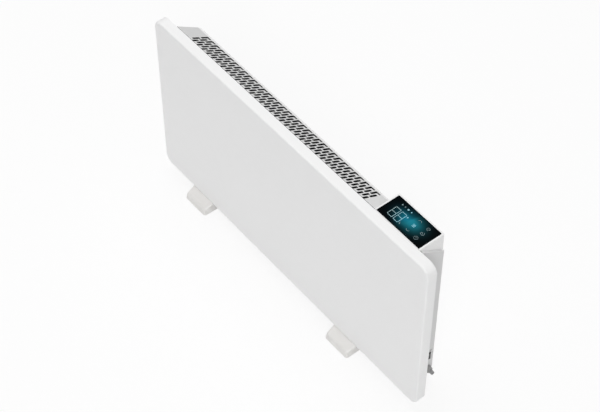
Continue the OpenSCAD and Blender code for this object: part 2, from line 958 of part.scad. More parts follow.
// Cord gland: flange, cone and ribbed nose round an open bore
module cord_gland() {
    bore = gland_bore / 2;
    cone_end = 10;
    nose_r = 4.7;
    rib = 1.3;
    ribs = 3;
    color("gray")
    translate([case_x, gland_mid.x, gland_mid.y])
    rotate([0, 90, 0])
    rotate_extrude()
    polygon(concat(
        [[bore, gland_inner_x], [gland_thread_r, gland_inner_x], [gland_thread_r, 0],
            [gland_flange[0], 0], [gland_flange[0], gland_flange[1] - 1],
            [gland_flange[0] - 0.8, gland_flange[1]], [nose_r + 1, cone_end - 1]],
        [for (i = [0 : ribs - 1]) each [
            [nose_r, cone_end + i * 2 * rib], [nose_r, cone_end + i * 2 * rib + rib],
            [nose_r - 0.6, cone_end + i * 2 * rib + rib + 0.3],
            [nose_r - 0.6, cone_end + (i + 1) * 2 * rib - 0.3]]],
        [[nose_r - 0.8, gland_nose_x], [bore, gland_nose_x]]));
}

module gland_nut() {
    color("dimgray")
    translate([case_x - case_t - gland_nut_h, gland_mid.x, gland_mid.y])
    rotate([0, 90, 0])
    difference() {
        cylinder(h = gland_nut_h, r = gland_nut_r, $fn = 6);
        translate([0, 0, -1])
        cylinder(h = gland_nut_h + 2, r = gland_thread_r + 0.05);
    }
}

// Foot: a moulded saddle under the panel, hollow from below, with two screw posts
function heel_z(y) = base_z + (y - back_y + heel_d) * heel_h / heel_d;
function foot_outline() =
    let (z0 = 1, rest_y = back_y - 4)
    let (nose = [foot_y[0], base_z - 9], lap = [face_y + 0.4, base_z])
    let (tail = [foot_y[1], z0 + 9], dip = [back_y + 10, base_z - 4])
    [
        [nose.x, z0], [tail.x, z0], each fold([tail.x, z0], tail, dip, foot_nose_r), dip,
        [back_y + 1, heel_z(rest_y) - 2], [rest_y, heel_z(rest_y) - fit_gap],
        [back_y - heel_d, base_z - fit_gap], [back_y - heel_d - 1, base_z],
        lap, each fold(lap, nose, [nose.x, z0], foot_nose_r)
    ];

function foot_hollow() =
    let (pad_room = 26, skin = 4)
    let (y0 = foot_y[0] + pad_room, y1 = foot_y[1] - pad_room)
    [
        [y0, -1], [y1, -1], [y1, base_z - 10], [back_y, base_z - skin], [y0, base_z - skin]
    ];

module foot_shell() {
    inner = foot_w / 2 - foot_wall;
    difference() {
        intersection() {
            along_x(-foot_w / 2, foot_w)
            polygon(foot_outline());
            linear_extrude(base_z + heel_h + 5)
            rounded_rect(-foot_w / 2, foot_y[0], foot_w / 2, foot_y[1], foot_corner_r);
        }
        for (x0 = [-inner, foot_wall / 2])
            along_x(x0, inner - foot_wall / 2)
            polygon(foot_hollow());
        for (y = pad_y)
            translate([0, y, 0])
            cylinder(h = 3.2, r = pad_r + 0.1);
    }
}

module foot() {
    post_z = 8;
    post_r = 6.5;
    head_r = 4.2;
    difference() {
        union() {
            foot_shell();
            for (dx = [-foot_screw_dx, foot_screw_dx])
                translate([dx, foot_screw_y, post_z])
                cylinder(h = base_z - post_z, r = post_r);
        }
        for (dx = [-foot_screw_dx, foot_screw_dx])
            translate([dx, foot_screw_y, 0]) {
                cylinder(h = base_z + 1, r = screw_hole_r);
                cylinder(h = foot_screw_z, r = head_r);
            }
    }
}

module left_foot() {
    color("floralwhite")
    translate([foot_x[0], 0, 0])
    foot();
}

module right_foot() {
    color("floralwhite")
    translate([foot_x[1], 0, 0])
    foot();
}

module foot_pads() {
    color("dimgray")
    for (x = foot_x, y = pad_y)
        translate([x, y, 0])
        cylinder(h = 3.2, r = pad_r);
}

module foot_screws() {
    color("silver")
    for (x = foot_x, dx = [-foot_screw_dx, foot_screw_dx])
        translate([x + dx, foot_screw_y, foot_screw_z])
        union() {
            pan_screw(base_z - foot_screw_z + 6);
            translate([0, 0, base_z - foot_screw_z + case_t])
            cylinder(h = 3, r = 3.8, $fn = 6);
        }
}

module case_screws() {
    color("silver")
    for (x = [-side_screw_x, side_screw_x], z = side_screw_z)
        translate([x, tray_y + case_t, z])
        rotate([90, 0, 0])
        pan_screw(case_t + panel_t + 5);
}

module box_screws() {
    color("silver")
    for (dx = [-box_screw_dx, box_screw_dx])
        translate([box_x + dx, box_back_y, box_screw_z])
        rotate([90, 0, 0])
        pan_screw(8, 3.4);
}

// Leads of the element: one from each end, through the grommet to the power board
module element_leads() {
    right_end = element_x[1] + rod_stub + rod_pin;
    left_end = element_x[0] - rod_stub - rod_pin;
    behind_y = back_y - 5;
    run_z = grommet_z + 4;
    near_y = grommet_y - 1.9;
    far_y = grommet_y + 1.9;
    post_z = element_z + 3.4;
    foot_z = board_z[0] + 8;
    color("firebrick") {
        tube([
            [right_end - 4, element_y, post_z],
            [right_end - 4, element_y + 1, element_z + 16],
            [right_end - 5, grommet_y - 3, grommet_z - 12],
            [right_end - 3, near_y, grommet_z - 3],
            [partition_x - 4, near_y, grommet_z],
            [partition_x + 8, near_y, grommet_z],
            [partition_x + 18, near_y, grommet_z + 6],
            [partition_x + 26, near_y, grommet_z + 20],
            [partition_x + 28, near_y, board_z[0] - 18],
            [partition_x + 28, board_face_y - 8, board_z[0] - 2],
            [partition_x + 28, board_face_y - 5, board_z[0] + 5],
            [partition_x + 28, board_face_y - lead_r, foot_z]
        ], lead_r);
        tube([
            [left_end + 4, element_y, post_z],
            [left_end + 4, element_y + 2, element_z + 14],
            [left_end + 4, element_y + 12, element_z + 24],
            [left_end + 6, behind_y - 4, run_z - 4],
            [left_end + 16, behind_y, run_z],
            [element_x[0], behind_y, run_z],
            [grille_x, behind_y, run_z],
            [element_x[1], behind_y, run_z],
            [element_x[1] + 16, behind_y - 2, run_z],
            [right_end - 6, grommet_y + 6, run_z],
            [partition_x - 5, far_y, grommet_z + 1],
            [partition_x + 8, far_y, grommet_z],
            [partition_x + 20, far_y, grommet_z + 4],
            [partition_x + 32, far_y, grommet_z + 18],
            [partition_x + 34, far_y, board_z[0] - 18],
            [partition_x + 34, board_face_y - 8, board_z[0] - 2],
            [partition_x + 34, board_face_y - 5, board_z[0] + 5],
            [partition_x + 34, board_face_y - lead_r, foot_z]
        ], lead_r);
    }
}

// Leads of the supply: from the terminal block to the power board and to the switch
module mains_leads() {
    block_top_z = block_z + block.z;
    pole_y = bay_wall_y - 7;
    board_lead_x = block_x + 28;
    blade_end_x = case_x - switch_depth - blade.x - fit_gap;
    blade_lead = [switch_mid.x + blade_y, switch_mid.y + blade_z];
    color("saddlebrown") {
        tube([
            [block_x + 29, pole_y, block_top_z - 2],
            [block_x + 29, pole_y, block_top_z + 14],
            [block_x + 29, pole_y - 4, block_top_z + 30],
            [board_lead_x, board_face_y - 8, board_z[0] - 20],
            [board_lead_x, board_face_y - 8, board_z[0] - 4],
            [board_lead_x, board_face_y - 5, board_z[0] + 4],
            [board_lead_x, board_face_y - lead_r, board_z[0] + 7]
        ], lead_r);
        tube([
            [block_x + 5, pole_y, block_z + 2],
            [block_x + 5, pole_y, block_z - 8],
            [block_x + 7, pole_y - 6, block_z - 16],
            [block_x + 14, blade_lead.x, blade_lead.y + 1],
            [blade_end_x - 8, blade_lead.x, blade_lead.y],
            [blade_end_x, blade_lead.x, blade_lead.y]
        ], lead_r);
    }
}

front_panel();
rear_case();
left_end_plate();
right_end_plate();
control_box();
touch_glass();
display_board();
display_ribbon();
partition_wall();
lead_grommet();
power_board();
board_standoffs();
terminal_block();
earth_stud();
heating_element();
element_rod();
element_insulators();
left_element_bracket();
right_element_bracket();
heat_shield();
thermal_cutout();
thermal_fuse();
room_sensor();
tilt_switch();
switch_body();
switch_rocker();
cord_gland();
gland_nut();
left_foot();
right_foot();
foot_pads();
foot_screws();
case_screws();
box_screws();
element_leads();
mains_leads();
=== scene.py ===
"""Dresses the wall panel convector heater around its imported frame.

Metres throughout: +X runs along the panel, the front faces -Y and the floor is Z = 0.
"""

import json
import math

import bmesh
import bpy
from mathutils import Euler, Matrix, Vector


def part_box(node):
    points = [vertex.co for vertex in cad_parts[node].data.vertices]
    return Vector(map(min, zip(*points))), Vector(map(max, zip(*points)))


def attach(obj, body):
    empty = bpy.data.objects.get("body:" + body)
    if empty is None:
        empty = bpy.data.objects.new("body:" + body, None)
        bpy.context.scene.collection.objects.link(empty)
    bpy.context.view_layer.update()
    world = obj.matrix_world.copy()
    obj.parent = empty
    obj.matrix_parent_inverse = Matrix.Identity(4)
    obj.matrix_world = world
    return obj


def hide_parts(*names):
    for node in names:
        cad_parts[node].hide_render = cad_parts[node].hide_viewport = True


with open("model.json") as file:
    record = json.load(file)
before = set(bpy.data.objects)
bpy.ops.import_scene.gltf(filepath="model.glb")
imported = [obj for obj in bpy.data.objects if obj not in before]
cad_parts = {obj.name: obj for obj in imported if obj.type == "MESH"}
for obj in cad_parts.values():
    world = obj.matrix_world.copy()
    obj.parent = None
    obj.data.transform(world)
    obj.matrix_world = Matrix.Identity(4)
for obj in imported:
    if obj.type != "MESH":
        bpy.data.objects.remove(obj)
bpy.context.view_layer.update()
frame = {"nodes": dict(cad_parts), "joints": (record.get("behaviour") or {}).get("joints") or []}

MM = 0.001
HEATER = "heater"
ROCKER = "rocker"
TOLERANCE = 0.02 * MM

# Camera of the photograph
LENS = 100.2
SENSOR = 36
CAMERA_AT = (1.7329, -1.3918, 2.8772)
CAMERA_TURN = (39.926, 0, 51.248)

# Studio: white is what the eye sees of the room, and the sky level is what lights the heater
WHITE = 1.0
SKY_LEVEL = 0.44
FLOOR_SIZE = 14
FLOOR_GREY = 0.92
FLOOR_SHADOW = 0.16
KEY_AT = (-1.1, 0.3, 4.0)
KEY_SIZE = 2.6
KEY_WATTS = 55
FILL_AT = (5.2, -4.8, 6.6)
FILL_SIZE = 3.0
FILL_WATTS = 335
LAMP_TARGET = Vector((0, 0, 0.3))

# Sheet metal
PANEL_R = 22 * MM
EDGE_R = 4 * MM
FLANGE_EDGE = 0.8 * MM
SHEET_T = 1.2 * MM
FLANGE = (62 * MM, 14 * MM)
SLOPE_DROP = 40 * MM
TOP_RECESS = 3 * MM
HEEL = (22 * MM, 16 * MM)
# Depth of the enamel; below it the sheet and the slot walls are painted near black as shade
PAINT_SKIN = 0.04 * MM

# Enamel of the case, and painted light on it: highlights along its front and back edges, and a
# reflection growing towards the control box
CASE_LEVEL = 0.68
PAINTED_LIGHT_LEVEL = 0.94
PAINTED_LIGHT_EDGE = 8 * MM
PAINTED_LIGHT_FADE = 5 * MM
PAINTED_LIGHT_FRONT = 0.6
PAINTED_LIGHT_BOX = 0.44
PAINTED_LIGHT_BOX_FROM = 50 * MM
PAINTED_LIGHT_BOX_OVER = 200 * MM

# Grain of metal: drawn out along X, or even
DRAWN = (0.05, 1, 1)
EVEN = (1, 1, 1)

# Control box
BOX_R = 4 * MM
BOX_EDGE = 0.8 * MM
LIP_T = 1.9 * MM
LIP_DROP = 5 * MM
GLASS_R = 2.9 * MM
GLASS_EDGE = 0.3 * MM
GLASS_SEAT = 1.8 * MM
FIT_GAP = 0.1 * MM

# Display: widths of strokes, and places along X and Y, in millimetres; a step of an arc in degrees
INK_T = 0.05
INK_LIFT = 0.02
ARC_STEP = 12
HAIRLINE = 0.3
FINE = 0.35
THIN = 0.4
FIRM = 0.5
BOLD = 0.55
STROKE = 0.62
DIGIT_W = 12.4
DIGIT_X = (273, 289.6)
DIGIT_Y = (-10.4, 1.8, 14.2)
DEGREE_AT = (306.3, 11.8)
DEGREE = (1.2, 0.6)
UNIT_X = 305.6
UNIT_Y = (-5.4, -9.8)
ROW_X = (276.2, 284.1, 293.1, 301.8)
ROW_Y = 25.8
SUN_RAYS = 6
PANE = 2.9
ARROWS_X = 328.2
ARROWS_Y = (-9.6, 8.0, 26.0)
ARROW_BOW = 3.9
KEY_X = 352.3
KEY_Y = (-8.2, 7.8, 23.4)
KEY_R = 4.1

# Glow behind the glass, from its middle, and its colour from dark to bright
GLOW_AT = Vector((1, 3, 0)) * MM
GLOW_REACH = (35.5 * MM, 23 * MM)
GLOW_PEAK = 0.92
GLOW_WARP = 6 * MM
FOLD_AT = Vector((-3.5, 0, 0)) * MM
FOLD_TURN = 16
FOLD_SOFT = 5 * MM
FOLD_RISE = 12 * MM
FOLD_SHADE = 0.26
GLOW_STOPS = (
    (0.0, (0.0008, 0.001, 0.0012)),
    (0.1, (0.0014, 0.0042, 0.005)),
    (0.2, (0.0023, 0.0112, 0.0135)),
    (0.35, (0.0035, 0.031, 0.037)),
    (0.5, (0.0055, 0.061, 0.074)),
    (0.7, (0.009, 0.122, 0.152)),
    (0.85, (0.0118, 0.186, 0.238)),
    (1.0, (0.017, 0.262, 0.34)),
)

# Mains switch
BEZEL_T = 2 * MM
BEZEL_R = 1.2 * MM
BEZEL_EDGE = 0.7 * MM
OPENING = (15 * MM, 24.2 * MM)
WELL = 11 * MM
SWITCH_BODY = (21.4 * MM, 27 * MM, 21 * MM)
BLADE = (9 * MM, 0.8 * MM, 6.3 * MM)
BLADE_AT = (5 * MM, 7 * MM)

# Rocker: its outline and marks in millimetres from its pin
ROCKER_HALF = 11
ROCKER_W = 14 * MM
ROCKER_SAG = (4.4, 1.1)
ROCKER_STEPS = 10
ROCKER_BACK = ((-1, -10.4), (-4, -4), (-4, 4), (-1, 10.4))
ROCKER_EDGE = 0.5 * MM
ROCKER_TILT = 7
PIN = (1.5 * MM, 18.6 * MM)
MARK_AT = 5.6
RING_MARK = (2.2, 0.9)
BAR_MARK = (2.4, 1.0)

# Cord gland: radii, and places along it in millimetres from the outer face of the end plate
GLAND_BORE = 3.4
GLAND_ENDS = (-12, 18)
THREAD_R = 6
THREAD_DEPTH = 0.5
THREAD_PITCH = 1.5
THREAD_FROM = -11.6
THREAD_TURNS = 7
NECK = 0.6
CHAMFER = 0.2
FLANGE_T = 3.5
SHOULDER = 0.8
CONE_R = 7
CONE_T = 5.5
CONE_BOW = 1.6
CONE_STEPS = 10
NOSE_R = 4.5
NOSE_FROM = 10
RIB = 1.3
RIBS = 3
RIB_DEPTH = 0.6
RIB_TAPER = 0.1
RIB_EDGE = (0.15, 0.1)
GLAND_STEPS = 64

# Feet: a bite is how far a form runs into the next one
FOOT_R = 6 * MM
CORNER_STEPS = 10
FOOT_EDGE = 3.8 * MM
EDGE_STEPS = 5
FOOT_DRAFT = 2 * MM
FOOT_EASE = 8 * MM
EASED_SHARE = 0.25
FOOT_NOSE_R = 9 * MM
NOSE_DROP = 9 * MM
TAIL_Z = 9 * MM
SADDLE_GAP = 0.05 * MM
SADDLE_R = 6 * MM
SADDLE_LAP = 0.4 * MM
CREST_SHORT = 2 * MM
CREST_R = 1.6 * MM
DIP = (10 * MM, 4 * MM)
FOOT_HOLLOW = (33 * MM, 44 * MM)
FOOT_ROOF = 20 * MM
FOOT_WEB = 3 * MM
WEB_BITE = 0.2 * MM
POST_R = 6.5 * MM
POST_EDGE = 0.4 * MM
POST_Z = 8 * MM
POST_BITE = 3 * MM
POST_AT = (16 * MM, -2.5 * MM)
POST_STEPS = 40
HEAD_ROOM = 4.2 * MM
SCREW_SEAT = 18 * MM

# Screws, in millimetres: each size is the radius of the head and the length of the shank
HEAD_RIM = 1.4
HEAD_DOME = 1.0
RECESS_ARM = 1.9
RECESS_SLOT = 0.45
RECESS_DEPTH = 1.3
RECESS_TAPER = 0.7
SHANK_R = 2
TIP = 1.2
TIP_R = 1.2
CASE_SCREW = (3.8, 7.2)
BOX_SCREW = (3.4, 8)


class Value:
    """A shader socket that takes part in Python arithmetic: each operation adds one Math node."""

    def __init__(self, nodes, socket):
        self.nodes = nodes
        self.socket = socket

    def math(self, operation, *terms, clamp=False):
        return self.nodes.node("Math", 0, dict(enumerate(terms)), operation=operation, use_clamp=clamp)

    def __add__(self, other):
        return self.math("ADD", self, other)

    def __radd__(self, other):
        return self.math("ADD", other, self)

    def __sub__(self, other):
        return self.math("SUBTRACT", self, other)

    def __rsub__(self, other):
        return self.math("SUBTRACT", other, self)

    def __mul__(self, other):
        return self.math("MULTIPLY", self, other)

    def __rmul__(self, other):
        return self.math("MULTIPLY", other, self)

    def __truediv__(self, other):
        return self.math("DIVIDE", self, other)

    def squared(self):
        return self.math("MULTIPLY", self, self)

    def above(self, limit):
        return self.math("GREATER_THAN", self, limit)

    def larger(self, other):
        return self.math("MAXIMUM", self, other)

    def smaller(self, other):
        return self.math("MINIMUM", self, other)

    def size(self):
        return self.math("ABSOLUTE", self)

    def sine(self):
        return self.math("SINE", self)

    def fading(self):
        """1 at zero, falling towards 0 as the value grows."""
        return self.math("POWER", math.e, self * -1)

    def held(self):
        """The value kept between 0 and 1."""
        return self.math("ADD", self, 0, clamp=True)


class Nodes:
    """A node tree, where every node is added by one method."""

    def __init__(self, tree):
        self.tree = tree

    def feed(self, socket, value):
        """Links a value into a socket, or sets the socket to a plain number, vector or colour."""
        if isinstance(value, Value):
            self.tree.links.new(value.socket, socket)
        elif socket.type == "RGBA":
            socket.default_value = (*value, 1.0)
        else:
            socket.default_value = value

    def node(self, kind, output=0, sockets=None, stops=None, **settings):
        """Adds a node: its settings, then its sockets. Returns one of its outputs."""
        made = self.tree.nodes.new("ShaderNode" + kind)
        for name, value in settings.items():
            setattr(made, name, value)
        if stops:
            while len(made.color_ramp.elements) < len(stops):
                made.color_ramp.elements.new(1.0)
            for element, (at, colour) in zip(made.color_ramp.elements, stops):
                element.position = at
                element.color = (*colour, 1.0)
        for name, value in (sockets or {}).items():
            self.feed(self.pick(made.inputs, name), value)
        return Value(self, self.pick(made.outputs, output))

    def pick(self, sockets, name):
        """A socket by its place, or the one in use that has a name."""
        if isinstance(name, int):
            return sockets[name]
        return next(s for s in sockets if s.enabled and s.name == name)

    def mix(self, factor, first, second):
        return self.node("Mix", "Result", {"Factor": factor, "A": first, "B": second}, data_type="RGBA")

    def seen_white(self):
        """1 where the camera, a mirror or a glass looks, and 0 where light only falls."""
        path = self.node("LightPath").socket.node.outputs
        kinds = ("Is Camera Ray", "Is Glossy Ray", "Is Transmission Ray")
        camera, mirror, glass = (Value(self, path[kind]) for kind in kinds)
        return camera.larger(mirror).larger(glass)


class Finish(Nodes):
    """One material and the patterns that materials share, all on the object's own coordinates."""

    def __init__(self, name, roughness=0.5, metallic=0.0, gloss=0.5):
        self.material = bpy.data.materials.new(name)
        self.material.use_nodes = True
        super().__init__(self.material.node_tree)
        self.shader = self.tree.nodes["Principled BSDF"]
        self.set(Roughness=roughness, Metallic=metallic, Specular_IOR_Level=gloss)
        self.place = self.node("TexCoord", "Object")

    def set(self, **sockets):
        for name, value in sockets.items():
            self.feed(self.shader.inputs[name.replace("_", " ")], value)

    def axes(self, vector=None):
        """X, Y and Z of the coordinates or of another vector."""
        parts = self.node("SeparateXYZ", 0, {"Vector": vector or self.place}).socket.node
        return [Value(self, output) for output in parts.outputs]

    def moved(self, centre=(0, 0, 0), turn=0, scale=(1, 1, 1)):
        """The coordinates from a centre, turned about Z by degrees and scaled."""
        away = self.node("VectorMath", 0, {0: self.place, 1: tuple(centre)}, operation="SUBTRACT")
        angles = (0, 0, math.radians(turn))
        return self.node("Mapping", 0, {"Vector": away, "Rotation": angles, "Scale": scale})

    def noise(self, scale, detail=2.0, vector=None):
        sockets = {"Vector": vector or self.place, "Scale": scale, "Detail": detail}
        return self.node("TexNoise", 0, sockets)

    def cells(self, scale, output="Distance"):
        return self.node("TexVoronoi", output, {"Vector": self.place, "Scale": scale})

    def ramp(self, value, *stops):
        return self.node("ValToRGB", 0, {0: value}, stops)

    def blot(self, centre, reach, warp):
        """A soft round patch: 1 at its centre, fading over a reach along X and Y, warped along Y."""
        along, across, _ = self.axes(self.moved(centre))
        return ((along / reach[0]).squared() + ((across + warp) / reach[1]).squared()).fading()

    def bump(self, height, distance):
        self.set(Normal=self.node("Bump", 0, {"Height": height, "Distance": distance}))


def grey(level, tint=(1.0, 1.0, 1.0)):
    return tuple(level * t for t in tint)


def slope_height(y):
    """Height of the sloped top of the case at a depth."""
    front, back = (corner.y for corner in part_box("rear_case"))
    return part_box("front_panel")[1].z - TOP_RECESS - (y - front) * SLOPE_DROP / (back - front)


# Finishes


def powder_coat(name, level, peel, roughness):
    """Baked enamel: orange peel of some height, a fine grain and a faint drift of shade.

    Returns the finish and its colour.
    """
    finish = Finish(name, gloss=0.35)
    shade = 0.5 * finish.noise(4, 3) + 0.5 * finish.noise(60)
    paint = finish.mix(shade, grey(level * 0.975), grey(level * 1.015))
    finish.set(Base_Color=paint, Roughness=roughness - 0.05 + 0.1 * shade)
    finish.bump(finish.noise(420) + 0.3 * finish.noise(2200, 1), peel)
    return finish, paint


def panel_enamel():
    finish, _ = powder_coat("panel_enamel", level=0.86, peel=0.02 * MM, roughness=0.42)
    return finish.material


def case_enamel(name, painted_light_share):
    """Enamel on the outer skin; the inner faces of the folded sheet are painted near black as shade.

    Where the second argument is 1, painted highlights make the enamel paler along the front and back
    edges, and a painted reflection makes it paler towards the control box. Where it is 0, the shade is
    even.
    """
    finish, paint = powder_coat(name, level=CASE_LEVEL, peel=0.03 * MM, roughness=0.5)
    lo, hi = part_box("rear_case")
    fall = SLOPE_DROP / (hi.y - lo.y)
    rise = HEEL[1] / HEEL[0]
    along, depth, height = finish.axes()
    # Painted light: a reflection of the control box, and highlights along the back and front edges
    to_box = PAINTED_LIGHT_BOX * ((along - PAINTED_LIGHT_BOX_FROM) / PAINTED_LIGHT_BOX_OVER).held()
    to_back = ((depth - (hi.y - PAINTED_LIGHT_EDGE)) / PAINTED_LIGHT_FADE).held()
    to_front = PAINTED_LIGHT_FRONT * ((lo.y + PAINTED_LIGHT_EDGE - depth) / PAINTED_LIGHT_FADE).held()
    painted_light = painted_light_share * to_box.larger(to_back).larger(to_front)
    paint = finish.mix(painted_light, paint, grey(PAINTED_LIGHT_LEVEL))
    under_slope = slope_height(0) - PAINT_SKIN * math.hypot(1, fall) - depth * fall - height
    over_heel = height - (lo.z + PAINT_SKIN * math.hypot(1, rise)) - (depth - (hi.y - HEEL[0])) * rise
    before_back = hi.y - PAINT_SKIN - depth
    over_floor = height - (lo.z + PAINT_SKIN)
    within_ends = hi.x - PAINT_SKIN - along.size()
    # How deep a point is inside the outer skin, past all five of its sides
    depth_in = under_slope
    for distance in (over_heel, before_back, over_floor, within_ends):
        depth_in = depth_in.smaller(distance)
    # Painted shade: inner faces and slot walls below the thin enamel are near black
    painted_shade = finish.mix(finish.noise(30, 3), grey(0.006), grey(0.014, (1.0, 0.97, 0.92)))
    finish.set(Base_Color=finish.mix(depth_in.above(0), paint, painted_shade))
    return finish.material


def painted_shade_inside():
    """The inner side of the front tray, painted near black as shade."""
    finish = Finish("painted_shade_inside", roughness=0.8, gloss=0.1)
    finish.set(Base_Color=finish.mix(finish.noise(25, 4), grey(0.006), grey(0.014)))
    finish.bump(finish.noise(900), 0.02 * MM)
    return finish.material


def white_moulding():
    """Satin moulded plastic with a fine spark-eroded grain."""
    finish = Finish("white_moulding", gloss=0.4)
    finish.set(
        Base_Color=finish.mix(finish.noise(12), grey(0.83), grey(0.86)),
        Roughness=0.40 + 0.1 * finish.noise(300),
    )
    finish.bump(finish.cells(1500) + 0.4 * finish.noise(700), 0.012 * MM)
    return finish.material


def foot_moulding():
    """Soft white moulding, slightly cream, with the faint mottle of a thick wall."""
    finish = Finish("foot_moulding", gloss=0.35)
    mottle = 0.6 * finish.noise(55, 3) + 0.4 * finish.noise(14)
    finish.set(
        Base_Color=finish.mix(mottle, (0.735, 0.722, 0.70), (0.825, 0.815, 0.80)),
        Roughness=0.42 + 0.16 * finish.noise(180),
    )
    finish.bump(finish.noise(650), 0.02 * MM)
    return finish.material


def display_glass():
    """Black glass over a display: a teal glow with a fold across it, dark towards the rim."""
    finish = Finish("display_glass", gloss=0.004)
    lo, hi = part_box("touch_glass")
    middle = Vector(((lo.x + hi.x) / 2, (lo.y + hi.y) / 2, hi.z))
    warp = GLOW_WARP * (finish.noise(45) - 0.5)
    halo = finish.blot(middle + GLOW_AT, GLOW_REACH, warp)
    across, up, _ = finish.axes(finish.moved(middle + FOLD_AT, FOLD_TURN))
    left_of_fold = (0.5 - (across + 0.4 * warp) / FOLD_SOFT).held()
    folded = left_of_fold * (up / FOLD_RISE).held()
    mist = 0.92 + 0.16 * finish.noise(70, 3)
    glow = GLOW_PEAK * halo * mist * (1 - FOLD_SHADE * folded)
    warmth = finish.noise(28) * (1 - 0.8 * left_of_fold)
    tint = finish.mix(warmth, (0.6, 0.9, 1.06), (1.3, 1.07, 0.97))
    colour = finish.ramp(glow.held(), *GLOW_STOPS)
    finish.set(
        Base_Color=finish.mix(finish.noise(20), grey(0.0006), grey(0.0012)),
        Roughness=0.05 + 0.06 * finish.noise(15, 3),
        Emission_Color=finish.node("VectorMath", 0, {0: colour, 1: tint}, operation="MULTIPLY"),
        Emission_Strength=1.0,
    )
    return finish.material


def display_ink(name, left, right):
    """Lit strokes of the display, from one shade at the left digit to another at the right digit."""
    finish = Finish(name, gloss=0.2)
    along = (finish.axes()[0] - DIGIT_X[0] * MM) / ((DIGIT_X[1] + DIGIT_W - DIGIT_X[0]) * MM)
    strength = 0.8 + 0.3 * finish.noise(140)
    shade = finish.mix(along.held(), left, right)
    finish.set(
        Base_Color=grey(0.02),
        Emission_Color=finish.node("VectorMath", 0, {0: shade, "Scale": strength}, operation="SCALE"),
        Emission_Strength=1.0,
    )
    return finish.material


def plain_moulding(name, dark, light, roughness=0.42):
    """Moulded plastic or rubber with a light grain."""
    finish = Finish(name, gloss=0.4)
    finish.set(
        Base_Color=finish.mix(finish.noise(90, 3), dark, light),
        Roughness=roughness - 0.06 + 0.12 * finish.noise(240),
    )
    finish.bump(finish.noise(1100), 0.015 * MM)
    return finish.material


def spangled_zinc_in_painted_shade():
    """Galvanised sheet with its flat spangle, painted near black as the shade inside the case."""
    finish = Finish("spangled_zinc_in_painted_shade", metallic=1.0)
    flake = finish.axes(finish.cells(160, "Color"))[0]
    finish.set(
        Base_Color=finish.mix(flake, grey(0.035), grey(0.075, (0.97, 1.0, 1.03))),
        Roughness=0.38 + 0.2 * flake,
    )
    finish.bump(finish.noise(1300), 0.01 * MM)
    return finish.material


def drawn_metal(name, dark, light, stretch=DRAWN):
    """Metal with fine lines from drawing or extruding."""
    finish = Finish(name, metallic=1.0)
    lines = finish.noise(300, 3, finish.moved(scale=stretch))
    finish.set(Base_Color=finish.mix(lines, dark, light), Roughness=0.27 + 0.16 * lines)
    finish.bump(lines, 0.02 * MM)
    return finish.material


def heated_steel():
    """The element's sheath, blued and browned in bands by its heat."""
    finish = Finish("heated_steel", metallic=1.0)
    band = 0.5 + 0.5 * (24 * finish.axes()[0] + 4 * finish.noise(9)).sine()
    finish.set(Base_Color=finish.mix(band, (0.10, 0.09, 0.085), (0.16, 0.12, 0.08)))
    finish.bump(finish.noise(1500), 0.01 * MM)
    return finish.material


def solder_mask():
    """Green circuit board with the lighter lines of its tracks."""
    finish = Finish("solder_mask", roughness=0.35)
    along, depth, height = finish.axes()
    stray = 1.5 * MM * finish.cells(70)
    row_pitch, column_pitch = 2.6 * MM, 3.4 * MM
    rows = ((height + depth + stray) * (math.tau / row_pitch)).sine().above(0.55)
    columns = ((along + stray) * (math.tau / column_pitch)).sine().above(0.7)
    track = rows.larger(columns)
    finish.set(Base_Color=finish.mix(track, (0.008, 0.06, 0.03), (0.02, 0.13, 0.06)))
    finish.bump(track, 0.03 * MM)
    return finish.material


def ribbon_lead():
    """Grey ribbon with its parallel conductors."""
    finish = Finish("ribbon_lead", roughness=0.55)
    pitch = 1.27 * MM
    wave = 0.5 + 0.5 * (finish.axes()[0] * (math.tau / pitch)).sine()
    finish.set(Base_Color=finish.mix(wave, grey(0.22), grey(0.42)))
    finish.bump(wave, 0.2 * MM)
    return finish.material


def braided_sleeve(name, dark, light):
    """Glass-fibre braid over a lead."""
    finish = Finish(name, roughness=0.75, gloss=0.2)
    along, depth, height = finish.axes()
    pitch = 1.6 * MM
    turn = math.tau / pitch
    braid = ((along + height) * turn).sine() * ((along - height + depth) * turn).sine()
    finish.set(Base_Color=finish.mix(braid.size(), dark, light))
    finish.bump(braid.size(), 0.1 * MM)
    return finish.material


def fired_ceramic():
    finish = Finish("fired_ceramic", roughness=0.7, gloss=0.3)
    finish.set(Base_Color=finish.mix(finish.noise(180, 3), (0.55, 0.52, 0.46), (0.68, 0.65, 0.58)))
    finish.bump(finish.noise(1400), 0.03 * MM)
    return finish.material


# Mesh tools


def box_of(verts):
    """The two corners of the box round some vertices."""
    lo = Vector([min(v.co[i] for v in verts) for i in range(3)])
    hi = Vector([max(v.co[i] for v in verts) for i in range(3)])
    return lo, hi


def fit(bm, verts, lo, hi):
    """Stretches vertices from their own box to the box between two corners."""
    old_lo, old_hi = box_of(verts)
    reach = [max(b - a, 1e-9) for a, b in zip(old_lo, old_hi)]
    scale = [(hi[i] - lo[i]) / reach[i] if reach[i] > TOLERANCE else 1.0 for i in range(3)]
    bmesh.ops.scale(bm, verts=verts, vec=scale)
    bmesh.ops.translate(bm, verts=verts, vec=Vector(lo) - box_of(verts)[0])


def block(bm, lo, hi):
    """A box between two corners."""
    verts = bmesh.ops.create_cube(bm, size=1.0)["verts"]
    fit(bm, verts, lo, hi)


def flat_face(bm, points):
    """One new face through points."""
    return bm.faces.new([bm.verts.new(p) for p in points])


def push(bm, faces, offset):
    """Extrudes faces by an offset and returns the leading ones."""
    edges = list(dict.fromkeys(e for f in faces for e in f.edges))
    made = bmesh.ops.extrude_face_region(bm, geom=[*faces, *edges])["geom"]
    bmesh.ops.translate(bm, verts=[g for g in made if isinstance(g, bmesh.types.BMVert)], vec=offset)
    return [g for g in made if isinstance(g, bmesh.types.BMFace)]


